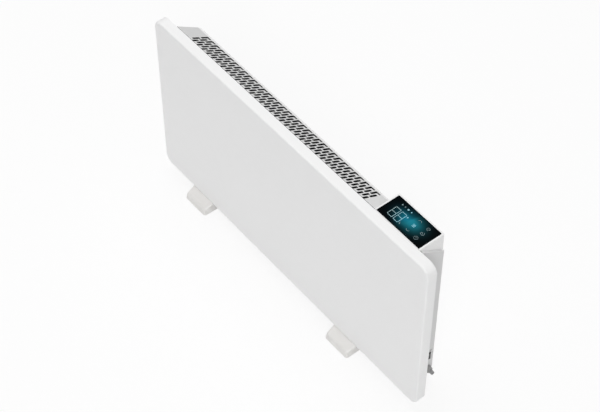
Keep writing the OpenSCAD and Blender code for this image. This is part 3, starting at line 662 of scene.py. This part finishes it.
def rim_in(bm, face, lo, hi):
    """Insets a face and stretches the inner loop to a box. The face becomes the inner one."""
    bmesh.ops.inset_region(bm, faces=[face], thickness=0.2 * MM, use_even_offset=True)
    fit(bm, face.verts[:], lo, hi)


def put_right(bm):
    """Joins vertices that coincide and turns every face outwards."""
    bmesh.ops.remove_doubles(bm, verts=bm.verts, dist=0.001 * MM)
    bmesh.ops.recalc_face_normals(bm, faces=bm.faces)


def edges_where(bm, test):
    """The edges whose ends both pass a test of their place."""
    return [e for e in bm.edges if all(test(v.co) for v in e.verts)]


def runs_along(edge, axis):
    """Whether an edge lies along one axis."""
    reach = edge.verts[0].co - edge.verts[1].co
    return reach.length - abs(reach[axis]) < TOLERANCE


def face_at(bm, axis, value):
    """The largest face that lies flat at a value along an axis."""
    flat = [f for f in bm.faces if all(abs(v.co[axis] - value) < TOLERANCE for v in f.verts)]
    return max(flat, key=lambda f: f.calc_area())


def bevel(bm, geom, radius, segments, affect="EDGES"):
    """Rounds edges or corners to a radius."""
    bmesh.ops.bevel(
        bm, geom=geom, offset=radius, offset_type="OFFSET", affect=affect,
        segments=segments, profile=0.5, material=-1, clamp_overlap=True,
    )


def sharper_than(bm, degrees):
    """The edges whose faces meet at more than an angle."""
    return [e for e in bm.edges if e.calc_face_angle(0) > math.radians(degrees)]


def turn_profile(bm, points, centre, axis, steps):
    """Turns an open line of points once round an axis."""
    verts = [bm.verts.new(p) for p in points]
    edges = [bm.edges.new(pair) for pair in zip(verts, verts[1:])]
    bmesh.ops.spin(
        bm, geom=verts + edges, cent=centre, axis=axis, angle=math.tau,
        steps=steps, use_merge=True, dvec=(0, 0, 0),
    )


def piece(name, bm, body, finishes, replaces=(), crease=32):
    """Makes a piece from a mesh, with its shading, finishes and body."""
    mesh = bpy.data.meshes.new(name)
    bm.to_mesh(mesh)
    bm.free()
    mesh.shade_smooth()
    mesh.set_sharp_from_angle(angle=math.radians(crease))
    for finish in finishes:
        mesh.materials.append(finish)
    made = bpy.data.objects.new(name, mesh)
    bpy.context.scene.collection.objects.link(made)
    even = made.modifiers.new("even_normals", "WEIGHTED_NORMAL")
    even.keep_sharp = True
    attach(made, body)
    if replaces:
        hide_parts(*replaces)


# Front panel, control box and glass


def make_front_panel(outer, inner):
    """A tray of sheet steel: rounded corners, a soft front edge and a flange round the back."""
    lo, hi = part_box("front_panel")
    bm = bmesh.new()
    verts = bmesh.ops.create_grid(bm, x_segments=1, y_segments=1, size=1.0)["verts"]
    bmesh.ops.rotate(bm, verts=verts, cent=(0, 0, 0), matrix=Matrix.Rotation(math.pi / 2, 3, "X"))
    fit(bm, verts, lo, (hi.x, lo.y, hi.z))
    bevel(bm, bm.verts[:], PANEL_R, segments=20, affect="VERTICES")
    push(bm, bm.faces[:], (0, hi.y - lo.y, 0))
    put_right(bm)
    bevel(bm, edges_where(bm, lambda p: p.y < lo.y + TOLERANCE), EDGE_R, segments=6)
    bevel(bm, edges_where(bm, lambda p: p.y > hi.y - TOLERANCE), FLANGE_EDGE, segments=3)
    back = face_at(bm, 1, hi.y)
    opening_lo = (lo.x + FLANGE[0], hi.y, lo.z + FLANGE[1])
    opening_hi = (hi.x - FLANGE[0], hi.y, hi.z - FLANGE[1])
    rim_in(bm, back, opening_lo, opening_hi)
    bmesh.ops.delete(bm, geom=[back], context="FACES_ONLY")
    skin = set(bm.faces)
    bmesh.ops.solidify(bm, geom=bm.faces[:], thickness=SHEET_T)
    # The inner faces of the tray take the painted shade
    for face in bm.faces:
        face.material_index = 0 if face in skin else 1
    piece("front_panel_tray", bm, HEATER, [outer, inner], ["front_panel"])


def make_control_box(finish):
    """A moulded wedge on the slope, with a seat for the glass and a lip over the back edge."""
    lo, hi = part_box("control_box")
    glass_lo, glass_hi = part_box("touch_glass")
    lip_z = slope_height(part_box("rear_case")[1].y) - LIP_DROP
    lip_y = hi.y - LIP_T
    bm = bmesh.new()
    under_front = (lo.y, slope_height(lo.y) + TOLERANCE)
    under_lip = (lip_y, slope_height(lip_y) + TOLERANCE)
    side = [under_front, under_lip, (lip_y, lip_z), (hi.y, lip_z), (hi.y, hi.z), (lo.y, hi.z)]
    flat_face(bm, [(lo.x, y, z) for y, z in side])
    push(bm, bm.faces[:], (hi.x - lo.x, 0, 0))
    put_right(bm)
    back = edges_where(bm, lambda p: p.y > hi.y - TOLERANCE)
    bevel(bm, [e for e in back if runs_along(e, 2)], BOX_R, segments=8)
    bevel(bm, edges_where(bm, lambda p: p.z > hi.z - TOLERANCE), BOX_EDGE, segments=4)
    seat = face_at(bm, 2, hi.z)
    room = Vector((FIT_GAP, FIT_GAP, 0))
    rim_in(bm, seat, Vector((*glass_lo.xy, hi.z)) - room, Vector((*glass_hi.xy, hi.z)) + room)
    push(bm, [seat], (0, 0, -GLASS_SEAT))
    put_right(bm)
    piece("control_box_moulding", bm, HEATER, [finish], ["control_box"])


def make_touch_glass(finish):
    """A pane with a soft upper edge and rounded back corners."""
    lo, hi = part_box("touch_glass")
    bm = bmesh.new()
    verts = bmesh.ops.create_grid(bm, x_segments=1, y_segments=1, size=1.0)["verts"]
    fit(bm, verts, (lo.x, lo.y, hi.z), hi)
    back_corners = [v for v in bm.verts if v.co.y > hi.y - TOLERANCE]
    bevel(bm, back_corners, GLASS_R, segments=8, affect="VERTICES")
    push(bm, bm.faces[:], (0, 0, lo.z - hi.z))
    put_right(bm)
    bevel(bm, edges_where(bm, lambda p: p.z > hi.z - TOLERANCE), GLASS_EDGE, segments=3)
    piece("touch_glass_pane", bm, HEATER, [finish], ["touch_glass"])


# Display


class Ink:
    """Thin raised strokes on a level surface, drawn in millimetres and kept as one mesh."""

    def __init__(self, level=0.0):
        self.bm = bmesh.new()
        self.level = level

    def at(self, x, y):
        return Vector((x * MM, y * MM, self.level))

    def bar(self, start, end, width=STROKE):
        start, end = self.at(*start), self.at(*end)
        side = (end - start).normalized().cross(Vector((0, 0, 1))) * width * MM / 2
        face = flat_face(self.bm, [start - side, start + side, end + side, end - side])
        push(self.bm, [face], (0, 0, INK_T * MM))

    def dot(self, centre, radius):
        spot = Matrix.Translation(self.at(*centre))
        verts = bmesh.ops.create_circle(
            self.bm, cap_ends=True, segments=24, radius=radius * MM, matrix=spot
        )["verts"]
        push(self.bm, [verts[0].link_faces[0]], (0, 0, INK_T * MM))

    def arc(self, centre, radius, start=0, sweep=360, width=STROKE):
        """Part of a ring, from a start angle over a sweep, both in degrees."""
        whole = sweep == 360
        middle = self.at(*centre)
        turn = Matrix.Rotation(math.radians(start), 3, "Z")
        inner, outer = radius - width / 2, radius + width / 2
        section = [(inner, 0), (outer, 0), (outer, INK_T), (inner, INK_T)]
        face = flat_face(self.bm, [middle + turn @ Vector((r, 0, h)) * MM for r, h in section])
        outline = [*face.edges, *face.verts]
        if whole:
            self.bm.faces.remove(face)
        bmesh.ops.spin(
            self.bm, geom=outline if whole else [face, *outline], cent=middle, axis=(0, 0, 1),
            angle=math.radians(sweep), steps=max(4, round(sweep / ARC_STEP)), use_merge=whole,
            dvec=(0, 0, 0),
        )


def draw_digit(ink, left):
    """All seven bars of one digit, its top towards the back of the heater."""
    right = left + DIGIT_W
    low, middle, high = DIGIT_Y
    gap = STROKE / 2
    for y in DIGIT_Y:
        ink.bar((left + gap, y), (right - gap, y))
    for x in (left, right):
        ink.bar((x, low + gap), (x, middle - gap))
        ink.bar((x, middle + gap), (x, high - gap))


def draw_states(ink):
    """The state icons that are lit: a sun, a disc in a ring and a drop."""
    sun, _, wheel, drop = (Vector((x, ROW_Y)) for x in ROW_X)
    ink.dot(sun, 0.7)
    for k in range(SUN_RAYS):
        angle = k * math.tau / SUN_RAYS
        away = Vector((math.cos(angle), math.sin(angle)))
        ink.bar(sun + 1.1 * away, sun + 1.7 * away, HAIRLINE)
    ink.dot(wheel, 1.1)
    ink.arc(wheel, 1.8, width=FINE)
    ink.dot(drop - Vector((0, 0.3)), 1.0)
    ink.bar(drop + Vector((0, 0.6)), drop + Vector((0, 1.9)), 0.45)


def draw_leaf(ink):
    """The state icon that is off."""
    x, y = ROW_X[1], ROW_Y
    ink.arc((x - 0.8, y), 1.8, -50, 100, FINE)
    ink.arc((x + 0.8, y), 1.8, 130, 100, FINE)
    ink.bar((x, y - 1.5), (x, y + 1.0), HAIRLINE)


def draw_window(ink):
    """A small window of four panes."""
    x, y = ARROWS_X, ARROWS_Y[1]
    for step in (-PANE, 0, PANE):
        ink.bar((x - PANE, y + step), (x + PANE, y + step), THIN)
        ink.bar((x + step, y - PANE), (x + step, y + PANE), THIN)


def draw_arrows(ink):
    """A bowed stroke above and one below the window."""
    low, _, high = ARROWS_Y
    ink.arc((ARROWS_X, high - ARROW_BOW), ARROW_BOW, 15, 150, FIRM)
    ink.arc((ARROWS_X, low + ARROW_BOW), ARROW_BOW, 195, 150, FIRM)


def draw_keys(ink):
    """Three round keys: a clock, a swirl and an open ring with two strokes."""
    clock, swirl, ring = KEY_Y
    ink.arc((KEY_X, clock), KEY_R, width=THIN)
    ink.bar((KEY_X, clock - 0.2), (KEY_X, clock + 2.4), THIN)
    ink.bar((KEY_X, clock), (KEY_X + 1.8, clock), THIN)
    ink.arc((KEY_X, swirl), KEY_R, -70, 140, BOLD)
    ink.arc((KEY_X - 1.4, swirl - 0.6), 2.3, width=BOLD)
    ink.arc((KEY_X, ring), KEY_R - 0.6, 100, 200, FIRM)
    ink.bar((KEY_X + 0.6, ring + 3.6), (KEY_X + 3.8, ring - 0.4), FIRM)
    ink.bar((KEY_X + 0.4, ring - 0.6), (KEY_X + 3.4, ring + 0.2), FIRM)


def make_display(bright, dim):
    """Digits and lit states in bright ink; the unit, the leaf, the arrows and the keys in dim ink."""
    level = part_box("touch_glass")[1].z + INK_LIFT * MM
    digits = Ink(level)
    for left in DIGIT_X:
        draw_digit(digits, left)
    radius, width = DEGREE
    digits.arc(DEGREE_AT, radius, width=width)
    draw_states(digits)
    draw_window(digits)
    icons = Ink(level)
    icons.bar((UNIT_X, UNIT_Y[0]), (UNIT_X, UNIT_Y[1]), 0.7)
    icons.dot((UNIT_X + 1.8, UNIT_Y[1] + 0.4), 0.8)
    draw_leaf(icons)
    draw_arrows(icons)
    draw_keys(icons)
    for name, ink, finish in (("display_digits", digits, bright), ("display_icons", icons, dim)):
        put_right(ink.bm)
        piece(name, ink.bm, HEATER, [finish])


# Mains switch


def rocker_pin():
    """Where the rocker's pin is, on its joint."""
    return Vector(next(j for j in frame["joints"] if j["name"] == "rocker_tilt")["pos_m"])


def make_switch_housing(outer, inner):
    """Bezel, well and body in one moulding, dark in the well, with four blades at the back."""
    lo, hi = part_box("switch_body")
    middle = rocker_pin()
    bezel_back = hi.x - BEZEL_T
    bm = bmesh.new()
    block(bm, (bezel_back, lo.y, lo.z), hi)
    bevel(bm, [e for e in bm.edges if runs_along(e, 0)], BEZEL_R, segments=4)
    bevel(bm, edges_where(bm, lambda p: p.x > hi.x - TOLERANCE), BEZEL_EDGE, segments=4)
    for x, size, depth in ((hi.x, OPENING, WELL), (bezel_back, SWITCH_BODY, SWITCH_BODY[2])):
        face = face_at(bm, 0, x)
        corner = Vector((0, size[0] / 2, size[1] / 2))
        centre = Vector((x, middle.y, middle.z))
        rim_in(bm, face, centre - corner, centre + corner)
        push(bm, [face], (-depth, 0, 0))
    body_back = bezel_back - SWITCH_BODY[2]
    for y in (-BLADE_AT[0], BLADE_AT[0]):
        for z in (-BLADE_AT[1], BLADE_AT[1]):
            centre = Vector((body_back, middle.y + y, middle.z + z))
            half = Vector((0, BLADE[1] / 2, BLADE[2] / 2))
            block(bm, centre - half - Vector((BLADE[0], 0, 0)), centre + half)
    put_right(bm)
    well_y, well_z = (size / 2 + TOLERANCE for size in OPENING)
    for face in bm.faces:
        away = face.calc_center_median() - middle
        face.material_index = int(abs(away.y) < well_y and abs(away.z) < well_z)
    piece("switch_housing", bm, HEATER, [outer, inner], ["switch_body"])


def rocker_face(z):
    """How far the hollow face of the rocker stands out at a height, both in millimetres."""
    return ROCKER_SAG[0] + ROCKER_SAG[1] * (z / ROCKER_HALF) ** 2


def hang_on_pin(bm):
    """Tilts what is drawn level round the pin to the off position."""
    turn = Matrix.Rotation(math.radians(ROCKER_TILT), 3, "Y")
    bmesh.ops.rotate(bm, verts=bm.verts, cent=(0, 0, 0), matrix=turn)
    bmesh.ops.translate(bm, verts=bm.verts, vec=rocker_pin())


def make_rocker(finish):
    """A rocker with a hollow face and soft edges, on its pin."""
    heights = [ROCKER_HALF - 2 * ROCKER_HALF * k / ROCKER_STEPS for k in range(ROCKER_STEPS + 1)]
    outline = [*((rocker_face(z), z) for z in heights), *ROCKER_BACK]
    bm = bmesh.new()
    flat_face(bm, [(x * MM, -ROCKER_W / 2, z * MM) for x, z in outline])
    push(bm, bm.faces[:], (0, ROCKER_W, 0))
    put_right(bm)
    bevel(bm, sharper_than(bm, degrees=40), ROCKER_EDGE, segments=3)
    across = Matrix.Rotation(math.pi / 2, 4, "X")
    bmesh.ops.create_cone(
        bm, cap_ends=True, segments=24, radius1=PIN[0], radius2=PIN[0], depth=PIN[1], matrix=across
    )
    put_right(bm)
    hang_on_pin(bm)
    piece("rocker_cap", bm, ROCKER, [finish], ["switch_rocker"])


def make_rocker_marks(finish):
    """A bar for on and a ring for off, laid on the hollow face."""
    ink = Ink()
    radius, width = RING_MARK
    ink.arc((0, -MARK_AT), radius, width=width)
    half, width = BAR_MARK
    ink.bar((-half, MARK_AT), (half, MARK_AT), width)
    bm = ink.bm
    for vert in bm.verts:
        side, height, rise = vert.co
        vert.co = (rocker_face(height / MM) * MM + INK_LIFT * MM + rise, side, height)
    put_right(bm)
    hang_on_pin(bm)
    piece("rocker_marks", bm, ROCKER, [finish])


# Cord gland


def gland_profile(flange):
    """Half of the gland's section as radii and places, with a radius for its flange."""
    back, front = GLAND_ENDS
    root = THREAD_R - THREAD_DEPTH
    profile = [(GLAND_BORE, back), (root, back)]
    for k in range(THREAD_TURNS):
        start = THREAD_FROM + THREAD_PITCH * k
        profile += [(THREAD_R, start), (root, start + THREAD_PITCH / 2)]
    profile += [(THREAD_R, -NECK), (THREAD_R, 0), (flange - CHAMFER, 0), (flange, CHAMFER)]
    profile += [(flange, FLANGE_T - 1), (flange - 0.25, FLANGE_T - 0.3), (flange - SHOULDER, FLANGE_T)]
    for k in range(1, CONE_STEPS + 1):
        t = k / CONE_STEPS
        drop = (flange - SHOULDER - CONE_R) * t ** CONE_BOW
        profile.append((flange - SHOULDER - drop, FLANGE_T + CONE_T * t))
    valley = NOSE_R - RIB_DEPTH
    fall, run = RIB_EDGE
    for k in range(RIBS):
        ridge = NOSE_R - RIB_TAPER * k
        start = NOSE_FROM + 2 * RIB * k
        end = start + RIB
        profile += [(ridge - fall, start - run), (ridge, start)]
        profile += [(ridge, end - run), (ridge - fall, end)]
        profile += [(valley, end + 0.3), (valley, end + RIB - 0.3)]
    profile += [(valley, front - run), (valley - run, front), (GLAND_BORE + CHAMFER, front)]
    profile += [(GLAND_BORE, front - CHAMFER), (GLAND_BORE, back)]
    return profile


def make_gland(finish):
    """Thread, flange, domed cone and ribbed nose round an open bore."""
    lo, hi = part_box("cord_gland")
    plate_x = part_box("rear_case")[1].x
    middle = Vector((plate_x, (lo.y + hi.y) / 2, (lo.z + hi.z) / 2))
    profile = gland_profile((hi.z - lo.z) / 2 / MM)
    bm = bmesh.new()
    points = [middle + Vector((x, 0, r)) * MM for r, x in profile]
    turn_profile(bm, points, middle, (1, 0, 0), GLAND_STEPS)
    put_right(bm)
    piece("gland_body", bm, HEATER, [finish], ["cord_gland"], crease=40)


# Feet


def arc_corner(before, corner, after, radius, steps=8):
    """Points of an arc that rounds a corner of a flat outline."""
    before, corner, after = Vector(before), Vector(corner), Vector(after)
    one = (before - corner).normalized()
    other = (after - corner).normalized()
    half = one.angle(other) / 2
    middle = corner + (one + other).normalized() * radius / math.sin(half)
    first = corner + one * radius / math.tan(half) - middle
    last = corner + other * radius / math.tan(half) - middle
    return [middle + first.lerp(last, k / steps).normalized() * radius for k in range(steps + 1)]


def foot_profile(lo, hi):
    """Top of a foot from front to back, as depth and height: nose, saddle, heel and tail."""
    panel_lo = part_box("front_panel")[0]
    back_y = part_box("rear_case")[1].y
    seat = panel_lo.z - SADDLE_GAP
    nose = (lo.y, panel_lo.z - NOSE_DROP)
    lap = (panel_lo.y + SADDLE_LAP, seat)
    heel = (back_y - HEEL[0], seat)
    rise = (HEEL[0] - CREST_SHORT) * HEEL[1] / HEEL[0]
    crest = (back_y - CREST_SHORT, seat + rise - FIT_GAP)
    dip = (back_y + DIP[0], seat - DIP[1])
    tail = (hi.y, lo.z + TAIL_Z)
    return [
        *arc_corner((lo.y, lo.z), nose, lap, FOOT_NOSE_R),
        *arc_corner(nose, lap, heel, SADDLE_R),
        heel,
        *arc_corner(heel, crest, dip, CREST_R),
        *arc_corner(crest, dip, tail, SADDLE_R),
        *arc_corner(dip, tail, (hi.y, lo.z), FOOT_NOSE_R),
    ]


def height_on(profile, y):
    """Height of an open outline at a depth."""
    for (y0, z0), (y1, z1) in zip(profile, profile[1:]):
        if y0 <= y <= y1 and y1 - y0 > TOLERANCE / 100:
            return z0 + (z1 - z0) * (y - y0) / (y1 - y0)
    return profile[0][1] if y < profile[0][0] else profile[-1][1]


def rim_share(y, heater):
    """How much of its soft rim a foot has at a depth: all of it away from the heater, less under it."""
    front, back = heater
    outside = max(front - y, y - back) / FOOT_EASE
    return min(1.0, max(EASED_SHARE, outside))


def foot_rows(lo, hi, profile, inset, heater):
    """Half width and depth of each row of a foot, its plan drawn in by an inset, with round corners."""
    half = (hi.x - lo.x) / 2
    turns = [k / CORNER_STEPS * math.pi / 2 for k in range(CORNER_STEPS + 1)]
    reach = FOOT_R - inset
    corner = [(half - FOOT_R + reach * math.sin(a), reach * math.cos(a)) for a in turns]
    front = [(w, lo.y + FOOT_R - away) for w, away in corner]
    back = [(w, hi.y - FOOT_R + away) for w, away in reversed(corner)]
    depths = sorted(y for y, _ in profile if lo.y + FOOT_R < y < hi.y - FOOT_R)
    between = [(half - inset * rim_share(y, heater), y) for y in depths]
    return front + between + back


def foot_skin(bm, lo, hi):
    """Makes the outer skin of a foot: walls, a rounded rim and the saddle. Returns its flat base."""
    profile = foot_profile(lo, hi)
    heater = (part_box("front_panel")[0].y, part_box("rear_case")[1].y)
    middle_x = (lo.x + hi.x) / 2
    loops = []

    def add_loop(inset, height):
        rows = [(w, y, height(y)) for w, y in foot_rows(lo, hi, profile, inset, heater)]
        right = [bm.verts.new((middle_x + w, y, z)) for w, y, z in rows]
        left = [bm.verts.new((middle_x - w, y, z)) for w, y, z in rows]
        loops.append(right + left[::-1])

    add_loop(0, lambda y: lo.z)
    for k in range(EDGE_STEPS + 1):
        a = k / EDGE_STEPS * math.pi / 2
        drop = FOOT_EDGE * (1 - math.sin(a))
        inset = FOOT_DRAFT + FOOT_EDGE * (1 - math.cos(a))
        add_loop(inset, lambda y: height_on(profile, y) - drop * rim_share(y, heater))
    for low, high in zip(loops, loops[1:]):
        for k in range(len(low)):
            bm.faces.new([low[k - 1], low[k], high[k], high[k - 1]])
    top = loops[-1]
    for k in range(len(top) // 2 - 1):
        bm.faces.new([top[k], top[k + 1], top[-k - 2], top[-k - 1]])
    return bm.faces.new(loops[0][::-1])


def make_foot(name, finish):
    """A moulded saddle with soft edges, hollow below, with two screw posts and a web."""
    lo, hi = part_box(name)
    bm = bmesh.new()
    base = foot_skin(bm, lo, hi)
    bmesh.ops.recalc_face_normals(bm, faces=bm.faces)
    corner = Vector((FOOT_HOLLOW[0], FOOT_HOLLOW[1], 0))
    centre = Vector(((lo.x + hi.x) / 2, (lo.y + hi.y) / 2, lo.z))
    rim_in(bm, base, centre - corner, centre + corner)
    push(bm, [base], (0, 0, FOOT_ROOF - lo.z))
    web = Vector((FOOT_WEB / 2, FOOT_HOLLOW[1] + WEB_BITE, 0))
    block(bm, centre - web, centre + web + Vector((0, 0, FOOT_ROOF + WEB_BITE - lo.z)))
    bore = SHANK_R * MM + FIT_GAP
    post_top = FOOT_ROOF + POST_BITE
    profile = [
        (bore, post_top), (bore, SCREW_SEAT), (HEAD_ROOM, SCREW_SEAT), (HEAD_ROOM, POST_Z),
        (POST_R - POST_EDGE, POST_Z), (POST_R, POST_Z + POST_EDGE), (POST_R, post_top),
        (bore, post_top),
    ]
    for side in (-1, 1):
        at = Vector((centre.x + side * POST_AT[0], POST_AT[1], 0))
        turn_profile(bm, [at + Vector((r, 0, z)) for r, z in profile], at, (0, 0, 1), POST_STEPS)
    put_right(bm)
    piece(name + "_moulding", bm, HEATER, [finish], [name], crease=24)


# Screws


def crossed_head(bm, radius):
    """The domed face of a screw head with its crossed recess. Returns the edges of its rim."""
    grid = bmesh.ops.create_grid(bm, x_segments=5, y_segments=5, size=1.0)["verts"]
    ranks = sorted({round(v.co.x, 3) for v in grid})
    place = dict(zip(ranks, (-radius, -RECESS_ARM, -RECESS_SLOT, RECESS_SLOT, RECESS_ARM, radius)))
    for vert in grid:
        flat = Vector((place[round(vert.co.x, 3)], place[round(vert.co.y, 3)]))
        if max(abs(flat.x), abs(flat.y)) == radius:
            flat = flat.normalized() * radius
        dome = HEAD_DOME * (1 - (flat.length / radius) ** 2)
        vert.co = Vector((*flat, HEAD_RIM + dome)) * MM
    faces = list(dict.fromkeys(f for v in grid for f in v.link_faces))
    centres = [(f, sorted(abs(c) for c in f.calc_center_median().xy)) for f in faces]
    cross = [f for f, (near, far) in centres if near < RECESS_SLOT * MM and far < RECESS_ARM * MM]
    floor = push(bm, cross, (0, 0, -RECESS_DEPTH * MM))
    floor_verts = list(dict.fromkeys(v for f in floor for v in f.verts))
    bmesh.ops.scale(bm, verts=floor_verts, vec=(RECESS_TAPER, RECESS_TAPER, 1))
    edges = dict.fromkeys(e for v in grid if v.is_valid for e in v.link_edges)
    return [e for e in edges if e.is_boundary]


def add_screw(bm, seat, outward, radius, length):
    """A pan head on a plain shank with a short tip, its axis along outward from its seat."""
    before = set(bm.verts)
    rim = crossed_head(bm, radius)
    for reach, width in ((0, radius), (0, SHANK_R), (TIP - length, SHANK_R), (-length, TIP_R)):
        made = bmesh.ops.extrude_edge_only(bm, edges=rim)["geom"]
        rim = [g for g in made if isinstance(g, bmesh.types.BMEdge)]
        for vert in dict.fromkeys(v for e in rim for v in e.verts):
            vert.co = Vector((*(vert.co.xy.normalized() * width), reach)) * MM
    bmesh.ops.contextual_create(bm, geom=rim)
    screw = [v for v in bm.verts if v not in before]
    turn = Vector(outward).to_track_quat("Z", "Y").to_matrix()
    bmesh.ops.rotate(bm, verts=screw, cent=(0, 0, 0), matrix=turn)
    bmesh.ops.translate(bm, verts=screw, vec=seat)


def make_screws(name, node, finish, size, rows):
    """The screws of one node in two columns, their heads towards the back."""
    radius, length = size
    lo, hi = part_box(node)
    edge = radius * MM
    heights = (lo.z + edge, (lo.z + hi.z) / 2, hi.z - edge)[:rows]
    bm = bmesh.new()
    for x in (lo.x + edge, hi.x - edge):
        for z in heights:
            add_screw(bm, (x, hi.y - (HEAD_RIM + HEAD_DOME) * MM, z), (0, 1, 0), radius, length)
    put_right(bm)
    piece(name, bm, HEATER, [finish], [node], crease=35)


# Studio


def make_floor():
    """A floor that looks white and keeps the heater's shadow."""
    bm = bmesh.new()
    bmesh.ops.create_grid(bm, x_segments=1, y_segments=1, size=FLOOR_SIZE / 2)
    mesh = bpy.data.meshes.new("floor")
    bm.to_mesh(mesh)
    bm.free()
    finish = Finish("floor", roughness=0.9, gloss=0.0)
    finish.set(Base_Color=finish.mix(finish.noise(3), grey(FLOOR_GREY * 0.99), grey(FLOOR_GREY)))
    white = finish.node("Emission", 0, {"Color": grey(WHITE)})
    lit = Value(finish, finish.shader.outputs[0])
    mixed = finish.node("MixShader", 0, {0: finish.seen_white() * (1 - FLOOR_SHADOW), 1: lit, 2: white})
    finish.feed(finish.tree.nodes["Material Output"].inputs["Surface"], mixed)
    mesh.materials.append(finish.material)
    floor = bpy.data.objects.new("floor", mesh)
    bpy.context.scene.collection.objects.link(floor)


def make_world():
    """White where it is seen, and grey where it lights the heater."""
    world = bpy.data.worlds.new("studio")
    bpy.context.scene.world = world
    world.use_nodes = True
    nodes = Nodes(world.node_tree)
    sky = nodes.tree.nodes["Background"]
    nodes.feed(sky.inputs["Color"], grey(1.0))
    nodes.feed(sky.inputs["Strength"], SKY_LEVEL + (WHITE - SKY_LEVEL) * nodes.seen_white())


def make_soft_box(name, place, size, watts):
    """A large square lamp turned towards the heater."""
    light = bpy.data.lights.new(name, "AREA")
    light.size = size
    light.energy = watts
    lamp = bpy.data.objects.new(name, light)
    bpy.context.scene.collection.objects.link(lamp)
    lamp.location = place
    lamp.rotation_euler = (LAMP_TARGET - Vector(place)).to_track_quat("-Z", "Y").to_euler()


def make_camera():
    camera = bpy.data.cameras.new("camera")
    camera.lens = LENS
    camera.sensor_width = SENSOR
    camera.clip_end = 100
    holder = bpy.data.objects.new("camera", camera)
    bpy.context.scene.collection.objects.link(holder)
    holder.location = CAMERA_AT
    holder.rotation_euler = Euler([math.radians(angle) for angle in CAMERA_TURN])
    bpy.context.scene.camera = holder


def dress(finish, *nodes):
    """Gives CAD nodes that stay in view their finish."""
    for node in nodes:
        mesh = frame["nodes"][node].data
        mesh.materials.clear()
        mesh.materials.append(finish)


def dress_inside():
    """Finishes of the pieces inside the case, which show through the grille and the openings."""
    # The sheets and the element's fins are near black: painted shade inside the case
    sheets = ("partition_wall", "left_element_bracket", "right_element_bracket", "heat_shield")
    dress(spangled_zinc_in_painted_shade(), *sheets)
    dress(drawn_metal("extruded_fins_in_painted_shade", grey(0.06), grey(0.11)), "heating_element")
    plated = drawn_metal("plated_steel", grey(0.3), grey(0.5), EVEN)
    dress(plated, "board_standoffs", "thermal_cutout")
    dress(heated_steel(), "element_rod")
    dress(fired_ceramic(), "element_insulators")
    dress(solder_mask(), "display_board", "power_board")
    dress(ribbon_lead(), "display_ribbon")
    dress(plain_moulding("black_rubber", grey(0.02), grey(0.035), 0.7), "lead_grommet", "foot_pads")
    dress(plain_moulding("ivory_block", (0.6, 0.57, 0.48), (0.7, 0.67, 0.58)), "terminal_block")
    sensor_bead = plain_moulding("sensor_bead", grey(0.015), grey(0.03))
    dress(sensor_bead, "room_sensor", "tilt_switch", "gland_nut")
    dress(drawn_metal("turned_brass", (0.5, 0.36, 0.14), (0.68, 0.5, 0.22), EVEN), "earth_stud")
    dress(drawn_metal("fuse_can", grey(0.5), grey(0.7)), "thermal_fuse")
    dress(braided_sleeve("red_sleeve", (0.22, 0.03, 0.02), (0.36, 0.07, 0.05)), "element_leads")
    dress(braided_sleeve("brown_sleeve", (0.12, 0.05, 0.025), (0.2, 0.09, 0.05)), "mains_leads")


def main():
    bpy.context.scene.view_settings.view_transform = "Standard"
    make_camera()
    make_world()
    make_soft_box("key", KEY_AT, KEY_SIZE, KEY_WATTS)
    make_soft_box("fill", FILL_AT, FILL_SIZE, FILL_WATTS)
    make_floor()

    dress(case_enamel("case_enamel", painted_light_share=1), "rear_case")
    dress(case_enamel("end_enamel", painted_light_share=0), "left_end_plate", "right_end_plate")
    dress_inside()
    moulding = white_moulding()
    make_front_panel(panel_enamel(), painted_shade_inside())
    make_control_box(moulding)
    make_touch_glass(display_glass())
    make_display(
        display_ink("digit_light", (0.56, 0.78, 0.80), (0.46, 0.94, 1.12)),
        display_ink("icon_light", (0.27, 0.38, 0.42), (0.27, 0.38, 0.40)),
    )
    make_switch_housing(
        plain_moulding("switch_grey", grey(0.56), grey(0.62)),
        plain_moulding("well_black", grey(0.02), grey(0.035)),
    )
    make_rocker(plain_moulding("rocker_black", grey(0.04), grey(0.065), 0.35))
    make_rocker_marks(moulding)
    make_gland(plain_moulding("gland_grey", grey(0.28), grey(0.39)))
    foot = foot_moulding()
    for name in ("left_foot", "right_foot"):
        make_foot(name, foot)

    plated = drawn_metal("screw_plating", grey(0.45), grey(0.66, (1.0, 0.99, 0.96)), EVEN)
    dress(plated, "foot_screws")
    make_screws("case_screw_set", "case_screws", plated, CASE_SCREW, rows=3)
    make_screws("box_screw_set", "box_screws", plated, BOX_SCREW, rows=1)


main()
